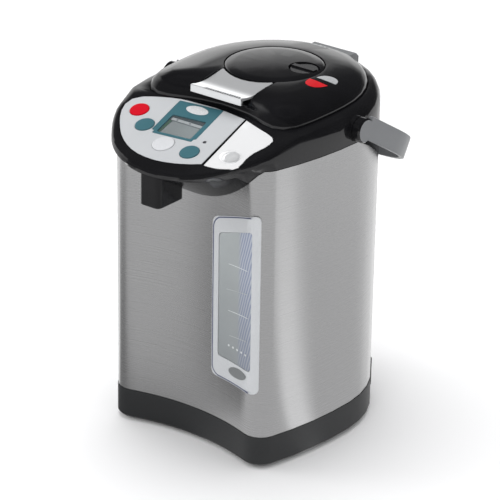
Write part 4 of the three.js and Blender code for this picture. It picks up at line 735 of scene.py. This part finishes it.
# The dispense key is a chromed moulding beside the panel, with a domed nub for the finger.
# The plating is bright and slightly milky, and the key tips on a pin at its rear.
key_chrome = plastic(
    "key_chrome", (0.92, 0.925, 0.93), rough=0.1, grain_per_m=300, relief=0.004,
    metal=0.3, drift=0.02)
moulding("dispense_key", key_chrome, crease=30, edge_round=0.35)
nub_radius, nub_rise = 8.3 * mm, 3.7 * mm
nub_steps = 8
nub_fullness = 0.8
nub_seat = (59.2 * mm, -55.4 * mm, -0.15 * mm)
nub_weld = 0.005 * mm
nub_chrome = plastic(
    "nub_chrome", (0.9, 0.91, 0.92), rough=0.05, grain_per_m=300, relief=0.0, metal=0.5, drift=0.02)
form = bmesh.new()
nub_verts = [form.verts.new((0, 0, nub_rise))]
for step in range(1, nub_steps + 1):
    swing = step / nub_steps * math.pi / 2
    nub_verts.append(form.verts.new((
        nub_radius * math.sin(swing), 0, nub_rise * math.cos(swing) ** nub_fullness)))
for inner, outer in zip(nub_verts, nub_verts[1:]):
    form.edges.new((inner, outer))
bmesh.ops.spin(
    form, geom=form.verts[:] + form.edges[:], cent=(0, 0, 0), axis=(0, 0, 1), angle=math.tau,
    steps=48, use_merge=True)
bmesh.ops.remove_doubles(form, verts=form.verts, dist=nub_weld)
bmesh.ops.holes_fill(form, edges=[e for e in form.edges if e.is_boundary])
bmesh.ops.recalc_face_normals(form, faces=form.faces)
bmesh.ops.translate(form, vec=nub_seat, verts=form.verts)
bmesh.ops.transform(form, matrix=on_panel, verts=form.verts)
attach(piece_from(form, "key_nub", nub_chrome, crease=40), body_of["dispense_key"])

# The lid is a gloss black shell over a steel inner plate, with a silicone gasket round the
# plate, the bellows and its spring between them, and a steam vent at the rear.
lid_gloss = plastic(
    "lid_gloss", (0.006, 0.006, 0.007), rough=0.08, grain_per_m=260, relief=0.012, drift=0.2)
spring_zinc = metal_plate(
    "spring_zinc", (0.6, 0.6, 0.6), rough=0.3, lines_per_m=(700, 700, 700), relief=0.1)
bellows_rubber = plastic(
    "bellows_rubber", (0.03, 0.03, 0.03), rough=0.7, grain_per_m=1300, relief=0.4)
moulding("lid_cover", lid_gloss)
# The steam vent is pale grey, partly the vent's own grill and partly a painted highlight along the
# lid's rear edge
vent_grey_and_highlight = plastic(
    "vent_grey_and_highlight", (0.33, 0.34, 0.35), rough=0.35, grain_per_m=1300, relief=0.1, drift=0.05)
moulding("steam_vent", vent_grey_and_highlight, edge_round=0.2)
moulding("lid_plate", pot_steel)
moulding("lid_gasket", seal_silicone)
# The bellows and its spring each get a mesh of their own
for node, finish in (("bellows", bellows_rubber), ("bellows_spring", spring_zinc)):
    folding = moulding(node, finish)
    foot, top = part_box(node)
    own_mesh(folding)
moulding("lid_latch", works_black)

# The pump disc is the round gloss black cap that is pressed to pump by hand. The knob that
# locks it stands near its right edge and turns under a thumb grip.
disc_gloss = plastic(
    "disc_gloss", (0.006, 0.006, 0.007), rough=0.07, grain_per_m=240, relief=0.01,
    drift=0.2, gloss=0.42)
knob_gloss = plastic(
    "knob_gloss", (0.008, 0.008, 0.009), rough=0.12, grain_per_m=300, relief=0.02, drift=0.2)
moulding("pump_disc", disc_gloss, crease=30, edge_round=0.3)
moulding("lock_knob", knob_gloss, crease=30, edge_round=0.4)

# Two blank marks are printed on the lid beside the knob, red for locked and silver for free.
# Each is a half oval of thick ink that follows the lid's crown.
mark_red = plastic(
    "mark_red", (0.5, 0.0, 0.006), rough=0.4, grain_per_m=900, relief=0.05, drift=0.03, gloss=0.15)
mark_silver = plastic(
    "mark_silver", (0.42, 0.43, 0.44), rough=0.3, grain_per_m=900, relief=0.05,
    metal=0.2, drift=0.03)
lid_mesh = bpy.data.objects["lid_cover_piece"].data
crown = BVHTree.FromPolygons(
    [v.co for v in lid_mesh.vertices], [p.vertices for p in lid_mesh.polygons])
ink_deep = 0.15 * mm
# Each row gives a mark's name, its middle in x and y in mm, its turn in degrees, its half length
# and its depth in mm, its ink and its side
mark_rows = [
    ("mark_locked", 58.2, 26.6, -4, 10.6, 14.0, mark_red, -1),
    ("mark_free", 61.2, 33.6, 1, 10.6, 11.2, mark_silver, 1),
]
for mark_name, mark_x, mark_y, mark_turn, long_half, depth, ink, side in mark_rows:
    form = bmesh.new()
    bmesh.ops.create_circle(form, cap_ends=True, segments=40, radius=1.0)
    bmesh.ops.bisect_plane(
        form, geom=form.verts[:] + form.edges[:] + form.faces[:], plane_co=(0, 0, 0),
        plane_no=(0, -side, 0), clear_outer=True)
    bmesh.ops.scale(form, vec=(long_half * mm, depth * mm, 1), verts=form.verts)
    bmesh.ops.triangulate(form, faces=form.faces[:])
    bmesh.ops.subdivide_edges(form, edges=form.edges[:], cuts=3, use_grid_fill=True)
    bmesh.ops.rotate(
        form, verts=form.verts, cent=(0, 0, 0),
        matrix=Matrix.Rotation(math.radians(mark_turn), 3, "Z"))
    bmesh.ops.translate(form, vec=(mark_x * mm, mark_y * mm, 0), verts=form.verts)
    for vert in form.verts:
        hit, *_ = crown.ray_cast(Vector((vert.co.x, vert.co.y, 1)), Vector((0, 0, -1)))
        vert.co.z = hit.z + ink_deep
    thicken(form, ink_deep)
    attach(piece_from(form, mark_name, ink), "lid")

# The lid lever is a chromed moulding with a dished back, hung on pins in the lid's recess.
# Fine ribs along the top of its front edge give the finger a hold, and a dark strip under them
# is painted shadow and painted reflection in the gaps between the ribs.
lever_chrome = plastic(
    "lever_chrome", (0.8, 0.81, 0.82), rough=0.12, grain_per_m=300, relief=0.0,
    metal=0.62, drift=0.02)
moulding("lid_lever", lever_chrome, crease=30, edge_round=0.7)
rib_slope = math.radians(4)
rib_place = (6.5 * mm, -48.9 * mm, 341.3 * mm)
rib_seat = Matrix.Translation(rib_place) @ Matrix.Rotation(rib_slope, 4, "X")
rib_count = 15
rib_pitch = 2.7 * mm
rib_lift = 0.1 * mm
shadow_strip_size = Matrix.Diagonal((40.5 * mm, 2.5 * mm, 0.5 * mm, 1))
rib_size = Matrix.Diagonal((1.25 * mm, 2.7 * mm, 0.75 * mm, 1))
shadow_strip_edge, rib_edge = 0.1 * mm, 0.12 * mm
painted_rib_shadow = plastic("painted_rib_shadow", (0.02, 0.02, 0.022), rough=0.3, grain_per_m=900, relief=0.05)
# The dark strip under the ribs is painted shadow and reflection, not a part of the lever
form = bmesh.new()
bmesh.ops.create_cube(form, size=1.0, matrix=rib_seat @ shadow_strip_size)
bmesh.ops.bevel(
    form, geom=form.edges[:], offset=shadow_strip_edge, offset_type="OFFSET", affect="EDGES", segments=2,
    profile=0.5, material=-1)
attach(piece_from(form, "lever_rib_painted_shadow", painted_rib_shadow), "lever")
form = bmesh.new()
for rib in range(rib_count):
    along = (rib - (rib_count - 1) / 2) * rib_pitch
    bmesh.ops.create_cube(
        form, size=1.0,
        matrix=rib_seat @ Matrix.Translation((along, 0, rib_lift)) @ rib_size)
bmesh.ops.bevel(
    form, geom=form.edges[:], offset=rib_edge, offset_type="OFFSET", affect="EDGES", segments=2,
    profile=0.5, material=-1)
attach(piece_from(form, "lever_ribs", lever_chrome), "lever")

# The hinge stands at the rear: a zinc bracket on the head holds a steel pin, on which the lid
# turns, and a grey moulded cover on the lid closes over both.
hinge_grey = plastic(
    "hinge_grey", (0.15, 0.155, 0.16), rough=0.42, grain_per_m=1300, relief=0.3, drift=0.05)
moulding("hinge_bracket", spring_zinc)
moulding("hinge_pin", motor_can)
moulding("hinge_cover", hinge_grey, edge_round=0.5)

# The carry handle is a grey bail of satin nylon that swings on two gloss black hubs. A round
# grey cap closes the outer end of each hub, where the strap starts.
handle_grey = plastic(
    "handle_grey", (0.17, 0.176, 0.184), rough=0.4, grain_per_m=1300, relief=0.3, drift=0.05)
cap_start = 114.9 * mm
moulding("handle_bail", handle_grey, edge_round=0.9)
for hub in ("handle_hub_right", "handle_hub_left"):
    hub_piece = moulding(hub, head_gloss, edge_round=0.7)
    hub_piece.data.materials.append(handle_grey)
    for face in hub_piece.data.polygons:
        if abs(face.center.x) > cap_start:
            face.material_index = 1

# The lowest and highest corner of the dressed pot, in metres
low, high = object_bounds()
